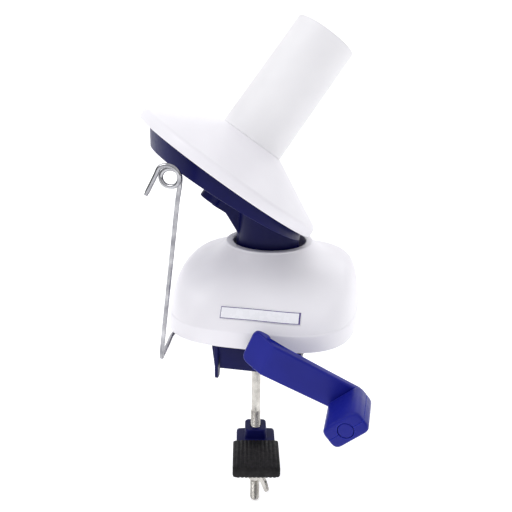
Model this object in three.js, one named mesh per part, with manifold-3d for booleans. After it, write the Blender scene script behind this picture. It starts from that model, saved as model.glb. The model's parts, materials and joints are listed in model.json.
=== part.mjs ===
// Hand-cranked yarn ball winder that clamps to a table edge.
// Millimetres, +Z up. The origin is on the underside of the base, below the
// turret's upright axis. The operator and the crank are on the -Y side.

import * as THREE from 'three';
import { mergeVertices } from 'three/addons/utils/BufferGeometryUtils.js';
import Module from 'manifold-3d';

const wasm = await Module();
wasm.setup();

// ---------------------------------------------------------------- dimensions

const GAP = 0.3;                       // running clearance between pieces

// Base housing: rounded-rectangle plan that flares up into a round collar.
const BASE_HALF_X = 57.3;
const BASE_HALF_Y = 58;
const FRONT_SQUARENESS = 3.3;          // exponent of the superellipse plan, front and back
const BACK_SQUARENESS = 3.1;
const BASE_SHIFT_X = -0.8;             // the outline sits off the turret axis
const SEAT_STEP = 0.5;                 // the front of the chassis is clear of the table
const BAND_HEIGHT = 10.4;              // upright side band
const COLLAR_TOP = 48;
const COLLAR_R = 27;
const COLLAR_HOLE_R = 22.4;
const WALL = 2.4;
const WELL_FLOOR = 28;                 // underside of the floor inside the collar
const WELL_FLOOR_THICK = 3;
const PLATE_THICK = 3;                 // chassis plate
const SCREW_X = 38;
const SCREW_Y = 38;

// Upright turret axis and the leaning spool axis that crosses it.
const APEX_Z = 125.9;                  // where the two axes cross
const LEAN = THREE.MathUtils.degToRad(36);
const LEAN_AZIMUTH = THREE.MathUtils.degToRad(24);
const POST_R = 3;
const NECK_R = 18.3;
const NECK_FLARE_R = 20.4;             // where the plate's wall runs down the neck
const NECK_BOTTOM = 33.2;
const SLEEVE_R = 6;                    // drive sleeve inside the turret tube
const TUBE_R = 8;                      // turret tube inside the bush

// Turret plate: an upright elliptical wall between two leaning planes.
const PLATE_R = 54;
const PLATE_TOP_T = -43.4;             // along the spool axis from the apex
const PLATE_FLOOR_T = -52;
const PLATE_CENTRE = -27.2;            // along the lean, from the turret axis
const UNDER_Z = 61.57;                 // the underside's height on the turret axis
const UNDER_TILT = THREE.MathUtils.degToRad(32.6);
const BOSS_END_T = -64;

// Spool: skirted cone and long spindle tube.
const RIM_R = 60.5;
const RIM_T = -42.7;
const SKIRT_T = -46.6;                 // lower edge of the rim's skirt
const CONE_TOP_T = -20;
const SPINDLE_R0 = 20;
const SPINDLE_R1 = 19;
const SPINDLE_TOP_T = 53;
const SPINDLE_WALL = 2;
const AXLE_R = 3;

// Crank: horizontal shaft along Y, slightly right of the turret axis.
const CRANK_X = 6;
const CRANK_Z = 5.5;
const CRANK_ANGLE = THREE.MathUtils.degToRad(-22.8);
const CRANK_LENGTH = 56.8;
const SHAFT_R = 3;
const BARREL_R = 5.4;
const BARREL_FRONT = 63.4;
const REAR_BLOCK_FRONT = -37.5;
const REAR_BLOCK_BACK = -31.4;
const ARM_FACE = 74;                   // distance of the arm's front face from the turret axis
const ARM_THICK = 4.5;
const HUB_WIDTH = 20;
const HUB_END = 5.6;                   // the arm's end beyond the shaft
const HUB_CORNER = 4;
const HUB_FOLD = 7.4;                  // where the hub's facet meets the arm's face
const HUB_FACET = THREE.MathUtils.degToRad(30);
const BORE_END = 66.8;                 // blind end of the shaft's bore
const TIP_WIDTH = 17.4;
const KNOB_LONG = 22.5;
const KNOB_SHORT = 13.4;
const KNOB_LENGTH = 27.5;
const KNOB_PIN_R = 4;
const KNOB_TURN = THREE.MathUtils.degToRad(62);

// Gears: a crown on the crank shaft drives the skewed pinion of an upright
// idler, and the idler's spur gear drives the turret's sleeve.
const IDLER_Y = -17;
const IDLER_POST_R = 2.5;
const SPUR_TEETH = 16;
const SPUR_PITCH_R = -IDLER_Y / 2;
const SPUR_BOTTOM = 22.8;
const SPUR_TOP = 26.2;
const PINION_TEETH = 12;
const CROWN_TEETH = 30;
const PINION_PITCH_R = 6.4;
const CROWN_MEAN_R = 14.58;
const CROWN_FACE = 4.4;
const SUN_TEETH = 16;
const PLANET_TEETH = 36;
const SUN_CONE = Math.atan(Math.sin(LEAN) / (PLANET_TEETH / SUN_TEETH + Math.cos(LEAN)));
const PLANET_CONE = LEAN - SUN_CONE;
const PLANET_OUTER_T = 50.6;           // below the apex, along the spool axis
const BEVEL_FACE_SHARE = 0.117;        // face width as a share of the cone distance

// Table clamp.
const ROD_Y = -37.5;
const ROD_R = 3;
const ROD_BOTTOM = -114.5;
const THREAD_TOP = -49.5;
const BRACKET_HALF_X = 24.6;           // over the gussets
const BOX_HALF_X = 19.5;
const BLADE_X = 21;
const BRACKET_FRONT = -50;
const BRACKET_BACK = -19.2;
const SUMP_FRONT = -33.2;              // the box widens here to clear the crown gear
const SUMP_RIGHT = 26.2;
const BRACKET_FLOOR = -17.6;
const LUG_BOTTOM = -23.6;
const JAW_TURN = THREE.MathUtils.degToRad(12.5);
const JAW_PLATE_TOP = -67;
const JAW_PLATE_THICK = 3.2;
const JAW_HALF_X = 11.7;
const JAW_BOSS = 13;
const JAW_BOSS_TOP = -60.3;
const JAW_HUB_BOTTOM = -88.5;
const BOOT_BACK = 9.2;                 // distances from the rod, along the jaw
const BOOT_FRONT = 38.6;
const BOOT_WALL = 1.7;

// Wire guide.
const WIRE_R = 1.25;
const GUIDE_PIVOT = new THREE.Vector3(-45, -30, 0);
const GUIDE_Y = -66.5;
const EYE_CENTRE = new THREE.Vector3(-40.8, GUIDE_Y, 98.5);

// ------------------------------------------------------------------ materials

const finish = (color, roughness, metalness = 0) =>
  new THREE.MeshStandardMaterial({ color, roughness, metalness });
const WHITE = finish(0xf0ecf4, 0.38);
const MATT_WHITE = finish(0xf4f2f4, 0.6);
const BRIGHT_BLUE = finish(0x2733b4, 0.35);
const NAVY = finish(0x18196c, 0.42);
const STEEL = finish(0xc9c5bd, 0.25, 1);
const CHROME = finish(0xb9babd, 0.14, 1);
const RUBBER = finish(0x232023, 0.85);
const ACETAL = finish(0xe6e3da, 0.5);
const BRONZE = finish(0xa67c43, 0.4, 1);
const LABEL = finish(0xf8f7fa, 0.3);

// -------------------------------------------------------------------- helpers

function toSolid(geometry) {
  const bare = geometry.index ? geometry.clone() : geometry;
  for (const name of ['normal', 'uv']) bare.deleteAttribute(name);
  const merged = mergeVertices(bare, 1e-4);
  return new wasm.Manifold(new wasm.Mesh({
    numProp: 3,
    vertProperties: new Float32Array(merged.attributes.position.array),
    triVerts: new Uint32Array(merged.index.array),
  }));
}

function toGeometry(solid) {
  const { vertProperties, triVerts, numProp } = solid.getMesh();
  const position = new Float32Array((vertProperties.length / numProp) * 3);
  for (let i = 0; i < position.length / 3; i++) {
    for (let k = 0; k < 3; k++) position[3 * i + k] = vertProperties[numProp * i + k];
  }
  const geometry = new THREE.BufferGeometry();
  geometry.setAttribute('position', new THREE.BufferAttribute(position, 3));
  geometry.setIndex(new THREE.BufferAttribute(new Uint32Array(triVerts), 1));
  geometry.computeVertexNormals();
  return geometry;
}

const union = (...geometries) => toGeometry(
  geometries.map(toSolid).reduce((a, b) => a.add(b)));
const cut = (geometry, ...tools) => toGeometry(
  tools.map(toSolid).reduce((a, b) => a.subtract(b), toSolid(geometry)));
const common = (a, b) => toGeometry(toSolid(a).intersect(toSolid(b)));

// Closed body through rings of equal length, from the first ring to the last,
// with flat end caps. Rings run anticlockwise seen from the last ring's side.
function loft(rings) {
  const count = rings[0].length;
  const position = rings.flat().flatMap((p) => [p.x, p.y, p.z]);
  const index = [];
  for (let r = 0; r + 1 < rings.length; r++) {
    for (let i = 0; i < count; i++) {
      const j = (i + 1) % count;
      const [a, b, c, d] = [r * count + i, r * count + j, (r + 1) * count + j, (r + 1) * count + i];
      index.push(a, b, c, a, c, d);
    }
  }
  const flat = (ring) => ring.map((p) => new THREE.Vector2(p.x, p.y));
  const last = (rings.length - 1) * count;
  for (const [a, b, c] of THREE.ShapeUtils.triangulateShape(flat(rings[0]), [])) {
    index.push(a, c, b);
  }
  for (const [a, b, c] of THREE.ShapeUtils.triangulateShape(flat(rings.at(-1)), [])) {
    index.push(last + a, last + b, last + c);
  }
  const geometry = new THREE.BufferGeometry();
  geometry.setAttribute('position', new THREE.Float32BufferAttribute(position, 3));
  geometry.setIndex(index);
  return geometry;
}

// Closed ring-shaped body through sections that follow each other round a loop.
function loopSweep(sections) {
  const count = sections[0].length;
  const position = sections.flat().flatMap((p) => [p.x, p.y, p.z]);
  const index = [];
  for (let s = 0; s < sections.length; s++) {
    const t = (s + 1) % sections.length;
    for (let i = 0; i < count; i++) {
      const j = (i + 1) % count;
      const [a, b, c, d] = [s * count + i, s * count + j, t * count + j, t * count + i];
      index.push(a, c, b, a, d, c);
    }
  }
  const geometry = new THREE.BufferGeometry();
  geometry.setAttribute('position', new THREE.Float32BufferAttribute(position, 3));
  geometry.setIndex(index);
  return geometry;
}

// Round bar standing on z0 and ending at z1.
function bar(radius, z0, z1, sides = 24, topRadius = radius) {
  return new THREE.CylinderGeometry(topRadius, radius, z1 - z0, sides)
    .rotateX(Math.PI / 2).translate(0, 0, (z0 + z1) / 2);
}

// Round bar along Y, from y0 to y1, on the crank axis.
const crankBar = (radius, y0, y1, sides = 24) =>
  bar(radius, y0, y1, sides).rotateX(-Math.PI / 2).translate(CRANK_X, 0, CRANK_Z);

const block = (x0, x1, y0, y1, z0, z1) =>
  new THREE.BoxGeometry(x1 - x0, y1 - y0, z1 - z0)
    .translate((x0 + x1) / 2, (y0 + y1) / 2, (z0 + z1) / 2);

const hexagon = (radius, z0, z1) => bar(radius, z0, z1, 6);

function extrude(shape, z0, z1, curveSegments = 3) {
  return new THREE.ExtrudeGeometry(shape, { depth: z1 - z0, bevelEnabled: false, curveSegments })
    .translate(0, 0, z0);
}

const polygon = (points) => new THREE.Shape(points.map(([x, y]) => new THREE.Vector2(x, y)));

function roundedRectangle(x0, x1, y0, y1, r) {
  const s = new THREE.Shape();
  s.moveTo(x0 + r, y0);
  s.lineTo(x1 - r, y0);
  s.absarc(x1 - r, y0 + r, r, -Math.PI / 2, 0);
  s.lineTo(x1, y1 - r);
  s.absarc(x1 - r, y1 - r, r, 0, Math.PI / 2);
  s.lineTo(x0 + r, y1);
  s.absarc(x0 + r, y1 - r, r, Math.PI / 2, Math.PI);
  s.lineTo(x0, y0 + r);
  s.absarc(x0 + r, y0 + r, r, Math.PI, 1.5 * Math.PI);
  return s;
}

// Lathe about Z of a closed outline of [radius, height] points.
function lathe(outline, segments = 48) {
  const points = outline.map(([r, z]) => new THREE.Vector2(r, z));
  points.push(points[0].clone());
  const body = new THREE.LatheGeometry(points, segments).rotateX(Math.PI / 2);
  return toSolid(body).volume() < 0 ? flipped(body) : body;
}

function flipped(geometry) {
  const index = geometry.index;
  for (let i = 0; i < index.count; i += 3) {
    const b = index.getX(i + 1);
    index.setX(i + 1, index.getX(i + 2));
    index.setX(i + 2, b);
  }
  return geometry;
}

function piece(name, geometry, material) {
  const mesh = new THREE.Mesh(geometry, material);
  mesh.name = name;
  return mesh;
}

// ------------------------------------------------------------------ base shell

const PLAN_POINTS = 36;

function planRadius(angle, inset) {
  const a = BASE_HALF_X - inset;
  const b = BASE_HALF_Y - inset;
  const n = FRONT_SQUARENESS + (BACK_SQUARENESS - FRONT_SQUARENESS) * (0.5 + 0.5 * Math.sin(angle));
  return ((Math.abs(Math.cos(angle)) / a) ** n + (Math.abs(Math.sin(angle)) / b) ** n) ** (-1 / n);
}

function planRing(z, inset, share = 0, collarRadius = COLLAR_R) {
  return Array.from({ length: PLAN_POINTS }, (_, i) => {
    const angle = (2 * Math.PI * (i + 0.5)) / PLAN_POINTS;
    const r = (1 - share) * planRadius(angle, inset) + share * collarRadius;
    const height = typeof z === 'function' ? z(angle) : z;
    return new THREE.Vector3(r * Math.cos(angle) + (1 - share) * BASE_SHIFT_X, r * Math.sin(angle), height);
  });
}

// Share of the dome's rise, from the crease (0) to the collar (1). The shoulder
// is full at the sides and back and slopes more gently at the front.
function flare(share, angle) {
  const front = Math.max(0, -Math.sin(angle)) ** 2;
  const shoulder = (1 - front) * 0.64 * (1 - (1 - share) ** 11) + front * 0.45 * (1 - (1 - share) ** 2);
  return shoulder + (0.2 + 0.2 * front) * share + (0.16 - 0.01 * front) * share ** 6;
}

// The whole outer form of the base, with nothing hollowed out.
function domeForm(lift = 0) {
  const rise = COLLAR_TOP - 0.8 - BAND_HEIGHT;
  const rings = [
    planRing(0, 0),
    planRing(BAND_HEIGHT - 1 + lift, 0.5),
    planRing(BAND_HEIGHT - 0.3 + lift, 0.8),
  ];
  for (const share of [0.02, 0.06, 0.12, 0.2, 0.32, 0.5, 0.68, 0.82, 0.91, 0.96, 1]) {
    rings.push(planRing((angle) => BAND_HEIGHT + lift + rise * flare(share, angle), 0.8, share));
  }
  rings.push(planRing(COLLAR_TOP + lift, 0.8, 1, COLLAR_R - 0.9));
  return loft(rings);
}

function cavityForm() {
  const top = COLLAR_TOP - 5;
  const low = BAND_HEIGHT - WALL;
  const rings = [planRing(-1, WALL), planRing(low, WALL + 0.6)];
  for (const share of [0.06, 0.16, 0.35, 0.65, 0.85, 0.94, 1]) {
    const height = (angle) => low + (top - low) * flare(share, angle);
    rings.push(planRing(height, WALL + 1, share, COLLAR_R - 1.6));
  }
  return loft(rings);
}

const cornerSigns = [[1, 1], [-1, 1], [-1, -1], [1, -1]];

function baseHousing() {
  const outer = domeForm();
  const hollow = cut(cavityForm(), bar(COLLAR_HOLE_R + WALL, WELL_FLOOR, 60, 44));
  const posts = cornerSigns.map(([sx, sy]) => common(
    bar(3.6, PLATE_THICK + GAP, 44, 12).translate(sx * SCREW_X, sy * SCREW_Y, 0), outer));
  const postBores = cornerSigns.map(([sx, sy]) =>
    bar(1.75, PLATE_THICK, 10.5, 8).translate(sx * SCREW_X, sy * SCREW_Y, 0));
  const shaftNotch = union(
    crankBar(BARREL_R + 0.4, -70, -40, 20),
    block(CRANK_X - BARREL_R - 0.4, CRANK_X + BARREL_R + 0.4, -70, -40, -1, CRANK_Z));
  const socketPost = bar(5, PLATE_THICK + GAP, 44, 14)
    .translate(GUIDE_PIVOT.x, GUIDE_PIVOT.y, 0);
  return cut(
    union(cut(outer, hollow), ...posts, common(socketPost, outer)),
    bar(COLLAR_HOLE_R, WELL_FLOOR + WELL_FLOOR_THICK, 60, 48),
    bar(10.3, WELL_FLOOR - 5, 60, 28),
    ...postBores,
    bar(WIRE_R + 1.6, -1, 9.6, 14).translate(GUIDE_PIVOT.x, GUIDE_PIVOT.y, 0),
    shaftNotch);
}

function chassisPlate() {
  const inset = WALL + GAP;
  const plate = loft([planRing(0, inset), planRing(PLATE_THICK, inset)]);
  const postBoss = bar(7, PLATE_THICK - 0.5, 12.4, 28);
  const barrel = union(
    crankBar(BARREL_R, -BARREL_FRONT, -42),
    block(CRANK_X - 3.5, CRANK_X + 3.5, -55, -42, PLATE_THICK - 1, CRANK_Z));
  const rearBlock = union(
    crankBar(BARREL_R, REAR_BLOCK_FRONT, REAR_BLOCK_BACK),
    block(CRANK_X - BARREL_R, CRANK_X + BARREL_R, REAR_BLOCK_FRONT, REAR_BLOCK_BACK,
      PLATE_THICK - 1, CRANK_Z));
  const crownSlot = block(CRANK_X - 18.3, CRANK_X + 18.3, -30.6, -21.5, -1, 30);
  const idlerBoss = bar(4.8, PLATE_THICK - 0.5, 14.2, 24).translate(0, IDLER_Y, 0);
  const screwHoles = cornerSigns.flatMap(([sx, sy]) => [
    bar(1.8, -1, 5, 8).translate(sx * SCREW_X, sy * SCREW_Y, 0),
    bar(3.4, -1, 1.8, 14).translate(sx * SCREW_X, sy * SCREW_Y, 0)]);
  const bracketHoles = bracketScrewPlaces.map(([x, y]) => bar(1.8, -1, 7, 8).translate(x, y, 0));
  const bracketBosses = bracketScrewPlaces.map(([x, y]) =>
    bar(3.6, PLATE_THICK - 0.5, 8, 12).translate(x, y, 0));
  return cut(
    union(plate, postBoss, idlerBoss, barrel, rearBlock, ...bracketBosses),
    block(-60, 60, -70, BRACKET_BACK + GAP, -1, SEAT_STEP),
    crownSlot,
    bar(POST_R + 0.25, 4, 20, 24),
    crankBar(SHAFT_R + 1.3, -BARREL_FRONT - 1, -20, 24),
    bar(IDLER_POST_R + 0.25, 4, 20, 20).translate(0, IDLER_Y, 0),
    block(CRANK_X - 6, CRANK_X + 6, -70, -58.4 + inset, -1, 0.05),
    bar(WIRE_R + 1.9, -1, 9, 14).translate(GUIDE_PIVOT.x, GUIDE_PIVOT.y, 0),
    ...screwHoles,
    ...bracketHoles);
}

// --------------------------------------------------------- bracket under base

// Each screw's x and y, and the x where its ear leaves the box.
const bracketScrewPlaces = [[-30, -36, -18.5], [30, -36, 18.5], [-31, -25, -18.5], [33, -25, 25.2]];

function clampBracket() {
  const wall = 2.5;
  const top = SEAT_STEP - GAP;
  const box = block(-BOX_HALF_X, BOX_HALF_X, BRACKET_FRONT, BRACKET_BACK, BRACKET_FLOOR, top);
  const inside = block(-BOX_HALF_X + wall, BOX_HALF_X - wall,
    BRACKET_FRONT + wall, BRACKET_BACK - wall, BRACKET_FLOOR + wall, top + 5);
  const sump = block(CRANK_X, SUMP_RIGHT, SUMP_FRONT, BRACKET_BACK, BRACKET_FLOOR, top);
  const sumpInside = block(CRANK_X - 2, SUMP_RIGHT - wall, SUMP_FRONT + wall, BRACKET_BACK - wall,
    BRACKET_FLOOR + wall, top + 5);
  const ears = bracketScrewPlaces.map(([x, y, root]) => {
    const far = x + Math.sign(x) * 4.5;
    return block(Math.min(root, far), Math.max(root, far), y - 5, y + 5, -3.3, top);
  });
  const earHoles = bracketScrewPlaces.map(([x, y]) => bar(1.8, -5, 1, 8).translate(x, y, 0));
  const blade = (side) => extrude(polygon([
    [BRACKET_FRONT - 2.4, top], [BRACKET_FRONT - 2, LUG_BOTTOM + 1], [BRACKET_FRONT - 1.2, LUG_BOTTOM],
    [BRACKET_FRONT + 2.2, LUG_BOTTOM], [BRACKET_FRONT + 5, BRACKET_FLOOR + 1], [BRACKET_FRONT + 5, top],
  ]), -1, 1).rotateX(Math.PI / 2).rotateZ(Math.PI / 2).translate(side * BLADE_X, 0, 0);
  const gusset = (side) => extrude(polygon([
    [side * (BLADE_X - 2), top], [side * (BLADE_X - 0.5), LUG_BOTTOM + 1],
    [side * (BLADE_X + 0.9), LUG_BOTTOM + 1], [side * BRACKET_HALF_X, top],
  ]), 0, 2.6).rotateX(Math.PI / 2).translate(0, BRACKET_FRONT + 2.6, 0);
  return cut(
    union(cut(union(box, sump), inside, sumpInside), ...ears, blade(-1), blade(1), gusset(-1), gusset(1),
      bar(7.5, BRACKET_FLOOR, BRACKET_FLOOR + 4.5, 28).translate(0, ROD_Y, 0)),
    bar(ROD_R + GAP, -30, 0, 24).translate(0, ROD_Y, 0),
    ...earHoles);
}

const screw = (headR, headZ0, headZ1, shankR, shankTop) =>
  union(bar(headR, headZ0, headZ1, 14), bar(shankR, headZ1 - 0.2, shankTop, 8));

// ----------------------------------------------------------------------- gears

// Straight-sided tooth outline: per tooth, root and tip corners as shares of
// the pitch angle.
function toothRing(teeth, rootR, tipR, rootShare, tipShare, phase = 0) {
  const ring = [];
  for (let k = 0; k < teeth; k++) {
    const corner = (share, r) => {
      const angle = ((k + share) * 2 * Math.PI) / teeth + phase;
      ring.push(new THREE.Vector2(r * Math.cos(angle), r * Math.sin(angle)));
    };
    corner(-rootShare / 2, rootR);
    corner(-tipShare / 2, tipR);
    corner(tipShare / 2, tipR);
    corner(rootShare / 2, rootR);
  }
  return ring;
}

const sameAt = (ring, z, turn = 0) => ring.map((p) => {
  const q = p.clone().rotateAround(new THREE.Vector2(), turn);
  return new THREE.Vector3(q.x, q.y, z);
});

function spurGear(phase) {
  const module = (2 * SPUR_PITCH_R) / SPUR_TEETH;
  const ring = toothRing(SPUR_TEETH, SPUR_PITCH_R - 1.2 * module, SPUR_PITCH_R + 0.85 * module,
    0.6, 0.18, phase);
  return loft([sameAt(ring, SPUR_BOTTOM), sameAt(ring, SPUR_TOP)]);
}

function idlerGear() {
  const module = (2 * PINION_PITCH_R) / PINION_TEETH;
  const rise = Math.sqrt(CROWN_MEAN_R ** 2 - CRANK_X ** 2);
  const mid = CRANK_Z + rise;
  const half = 2.7;
  const ring = toothRing(PINION_TEETH, PINION_PITCH_R - 1.3 * module, PINION_PITCH_R + 0.9 * module,
    0.54, 0.14);
  const steps = 4;
  const rings = [];
  for (let k = 0; k <= steps; k++) {
    const above = half * ((2 * k) / steps - 1);
    // The teeth lean with the crown's, which lie along its radius.
    rings.push(sameAt(ring, mid + above, (-CRANK_X / rise) * (above / PINION_PITCH_R) - Math.PI / 2));
  }
  return cut(
    union(loft(rings), spurGear(Math.PI / SPUR_TEETH),
      bar(PINION_PITCH_R - 1.4 * module, mid - half - 1.2, SPUR_TOP + 0.5, 24)),
    bar(IDLER_POST_R + GAP, 0, 50, 20));
}

const driveGear = () => cut(
  union(spurGear(0), bar(SLEEVE_R - 0.5, 13.8, SPUR_TOP, 28), bar(SLEEVE_R, SPUR_TOP - 0.1, 36.6, 28)),
  bar(POST_R + GAP, 0, 50, 24));

// Crown gear in its own frame: teeth point along +Y, the axis is Y.
function crownGear() {
  const module = (2 * PINION_PITCH_R) / PINION_TEETH;
  const pitchY = IDLER_Y - PINION_PITCH_R;
  const tipY = pitchY + 0.9 * module;
  const rootY = pitchY - 1.2 * module;
  const backY = pitchY - 4.6;
  const inner = CROWN_MEAN_R - CROWN_FACE / 2;
  const outer = CROWN_MEAN_R + CROWN_FACE / 2;
  const sections = [];
  for (let k = 0; k < CROWN_TEETH; k++) {
    for (const [share, y] of [[-0.28, rootY], [-0.07, tipY], [0.07, tipY], [0.28, rootY]]) {
      // A tooth space, not a tooth, faces the pinion tooth at rest.
      const angle = ((k + 0.5 + share) * 2 * Math.PI) / CROWN_TEETH + crownPhase;
      const at = (r, h) => new THREE.Vector3(-r * Math.sin(angle), h, r * Math.cos(angle));
      sections.push([at(inner, backY), at(outer, backY), at(outer, y), at(inner, y)]);
    }
  }
  let annulus = loopSweep(sections);
  if (toSolid(annulus).volume() < 0) annulus = flipped(annulus);
  const yBar = (r, y0, y1) => bar(r, y0, y1, 40).rotateX(-Math.PI / 2);
  return cut(
    union(annulus, yBar(inner + 0.3, backY, rootY - 0.5), yBar(6, backY - 1.6, backY + 1)),
    yBar(SHAFT_R + 0.12, -40, 10)).translate(CRANK_X, 0, CRANK_Z);
}

const crownPhase = Math.atan2(CRANK_X, Math.sqrt(CROWN_MEAN_R ** 2 - CRANK_X ** 2));

// Straight bevel gear below the apex at the origin of its own axis. The cone
// opens downwards. "outer" is the height of the large end below the apex.
function bevelGear(teeth, cone, outer, phase, boreR, hub) {
  const slant = outer / Math.cos(cone);
  const module = (2 * slant * Math.sin(cone)) / teeth;
  const tip = outer * Math.tan(cone + (0.85 * module) / slant);
  const root = outer * Math.tan(cone - (1.2 * module) / slant);
  const ring = toothRing(teeth, root, tip, 0.6, 0.2, phase);
  const shrink = 1 - BEVEL_FACE_SHARE;
  const at = (scale) => ring.map((p) => new THREE.Vector3(p.x * scale, p.y * scale, -outer * scale));
  const body = loft([at(1), at(shrink)]);
  return cut(union(body, hub), bar(boreR, -80, 0, 28));
}

const sunOuter = (PLANET_OUTER_T / Math.cos(PLANET_CONE)) * Math.cos(SUN_CONE);
const sunTop = APEX_Z - sunOuter * (1 - BEVEL_FACE_SHARE);

function sunGear() {
  // A tooth space faces the planet: half a pitch past the lean direction.
  const phase = LEAN_AZIMUTH + Math.PI + Math.PI / SUN_TEETH;
  return bevelGear(SUN_TEETH, SUN_CONE, sunOuter, phase, POST_R + 0.12,
    bar(6.5, -sunOuter - 6, -sunOuter + 1, 28)).translate(0, 0, APEX_Z);
}

function planetGear() {
  return bevelGear(PLANET_TEETH, PLANET_CONE, PLANET_OUTER_T, 0, AXLE_R + GAP,
    bar(7.5, -PLANET_OUTER_T, -PLANET_OUTER_T + 2, 28));
}

// ---------------------------------------------------------------------- turret

// Everything between two planes square to the spool axis, in the turret frame.
function leaningSlab(t0, t1, radius = 140) {
  return bar(radius, t0, t1, 24).rotateY(LEAN).translate(0, 0, APEX_Z);
}

function leaningBar(radius, t0, t1, sides = 20) {
  return bar(radius, t0, t1, sides).rotateY(LEAN).translate(0, 0, APEX_Z);
}

// Everything above the turret plate's sloping underside.
const aboveUnderside = (lift = 0) => block(-140, 140, -140, 140, 0, 240)
  .rotateY(UNDER_TILT).translate(0, 0, UNDER_Z + lift);

function turretFrame() {
  const wall = (inset) => {
    const s = new THREE.Shape();
    s.absellipse(PLATE_CENTRE, 0, (PLATE_R - inset) * Math.cos(LEAN), PLATE_R - inset, 0, 2 * Math.PI);
    return extrude(s, 20, 150, 26);
  };
  const plate = common(common(wall(0), leaningSlab(-120, PLATE_TOP_T)), aboveUnderside());
  const dish = common(
    common(wall(2.6), leaningSlab(PLATE_FLOOR_T, PLATE_TOP_T + 5)), aboveUnderside(2.9));
  const neck = cut(
    union(bar(NECK_R, NECK_BOTTOM, 90, 40), common(bar(NECK_FLARE_R, NECK_BOTTOM, 90, 40), wall(0))),
    aboveUnderside(0.7));
  const rib = cut(
    extrude(polygon([[-36.3, 72.4], [-28.2, 66.9], [-25.3, 62.1], [-21.3, 55.3], [-18.3, 50],
      [-12, 50], [-12, 70], [-34, 100]]), -4, 4).rotateX(Math.PI / 2),
    aboveUnderside(0.7));
  const below = cut(bar(90, 20, 120, 24), aboveUnderside(0.7));
  const boss = common(leaningBar(6.4, BOSS_END_T, PLATE_FLOOR_T - 0.5), below);
  const collarRelief = cut(bar(40, 10, COLLAR_TOP + 1.2, 44), bar(NECK_FLARE_R + 0.1, 5, 60, 40));
  return cut(
    union(cut(plate, dish), neck, rib, boss, bar(TUBE_R, 26.6, NECK_BOTTOM + 1, 28)),
    leaningBar(25.6, PLATE_FLOOR_T + 0.9, PLATE_TOP_T + 1, 40),
    leaningBar(6.6, PLATE_FLOOR_T, PLATE_TOP_T),
    common(bar(NECK_R - 2.5, NECK_BOTTOM + 4, 110, 36), wall(2.4)),
    bar(SLEEVE_R + GAP, 20, 60, 24),
    leaningBar(AXLE_R + GAP, BOSS_END_T + 2, 0),
    collarRelief);
}

function spoolAxle() {
  return lathe([
    [0, BOSS_END_T + 2.4], [AXLE_R, BOSS_END_T + 2.4], [AXLE_R, -51.7], [5.4, -51.7], [5.4, -50.9],
    [AXLE_R, -50.9], [AXLE_R, -9.6], [AXLE_R - 0.6, -9], [0, -9],
  ], 28);
}

// ----------------------------------------------------------------------- spool

function spoolCup() {
  const slope = (CONE_TOP_T - RIM_T - 2) / (RIM_R - SPINDLE_R0);
  const inner = (r) => RIM_T + 0.2 + slope * (RIM_R - 2 - r);
  const spigotR = SPINDLE_R0 - SPINDLE_WALL - 0.4;
  return lathe([
    [AXLE_R + GAP, -44.3], [9, -44.3], [9, inner(11)], [11, inner(11)], [RIM_R - 2, RIM_T + 0.2],
    [RIM_R - 1.9, SKIRT_T + 0.4], [RIM_R - 1.4, SKIRT_T], [RIM_R, SKIRT_T + 0.2],
    [RIM_R + 0.3, SKIRT_T + 0.8], [RIM_R, RIM_T], [RIM_R - 0.5, RIM_T + 2],
    [RIM_R - 2.2, RIM_T + 3.6], [SPINDLE_R0 + 0.3, CONE_TOP_T], [spigotR, CONE_TOP_T],
    [spigotR - 0.2, CONE_TOP_T + 7], [spigotR - 2, CONE_TOP_T + 7], [spigotR - 2, CONE_TOP_T],
    [AXLE_R + GAP, CONE_TOP_T],
  ], 40);
}

function spindleTube() {
  const bottom = CONE_TOP_T + GAP;
  const tube = lathe([
    [SPINDLE_R0 - SPINDLE_WALL, bottom], [SPINDLE_R0, bottom], [SPINDLE_R1, SPINDLE_TOP_T - 1],
    [SPINDLE_R1 - 0.5, SPINDLE_TOP_T], [SPINDLE_R1 - SPINDLE_WALL + 0.3, SPINDLE_TOP_T],
    [SPINDLE_R1 - SPINDLE_WALL, SPINDLE_TOP_T - 1],
  ], 32);
  // Slot that holds the tail of the yarn, on the side away from the operator.
  const slot = union(block(-1.1, 1.1, 5, 30, SPINDLE_TOP_T - 12, SPINDLE_TOP_T + 2),
    block(-3, 3, 5, 30, SPINDLE_TOP_T - 1.5, SPINDLE_TOP_T + 2));
  return cut(tube, slot);
}

// ----------------------------------------------------------------------- crank

// The crank's own frame: X along the arm, Y across it, Z towards the operator.
function crankArm() {
  const reach = CRANK_LENGTH;
  const tip = new THREE.Shape();
  const half = HUB_WIDTH / 2;
  tip.moveTo(-HUB_END, -half + HUB_CORNER);
  tip.quadraticCurveTo(-HUB_END, -half, HUB_CORNER - HUB_END, -half);
  tip.lineTo(reach - 2, -TIP_WIDTH / 2);
  tip.absarc(reach, 0, TIP_WIDTH / 2, -Math.PI / 2, Math.PI / 2);
  tip.lineTo(HUB_CORNER - HUB_END, half);
  tip.quadraticCurveTo(-HUB_END, half, -HUB_END, half - HUB_CORNER);
  const plate = extrude(tip, ARM_FACE - ARM_THICK, ARM_FACE, 8);
  const hubBack = BARREL_FRONT + 0.5;
  const hub = extrude(roundedRectangle(-HUB_END, 5, 0.2 - half, half - 0.2, HUB_CORNER),
    hubBack, ARM_FACE - 1);
  const bevel = new THREE.BoxGeometry(30, 40, 12).translate(-15, 0, 6)
    .rotateY(-HUB_FACET).translate(HUB_FOLD, 0, ARM_FACE);
  return cut(
    union(plate, hub),
    bevel,
    bar(SHAFT_R + 0.12, 0, BORE_END, 28),
    bar(2.3, 60, 90, 24).translate(reach, 0, 0));
}

const crankBush = (y0, y1) =>
  cut(crankBar(SHAFT_R + 1, y0, y1), crankBar(SHAFT_R + 0.2, y0 - 1, y1 + 1));

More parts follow.
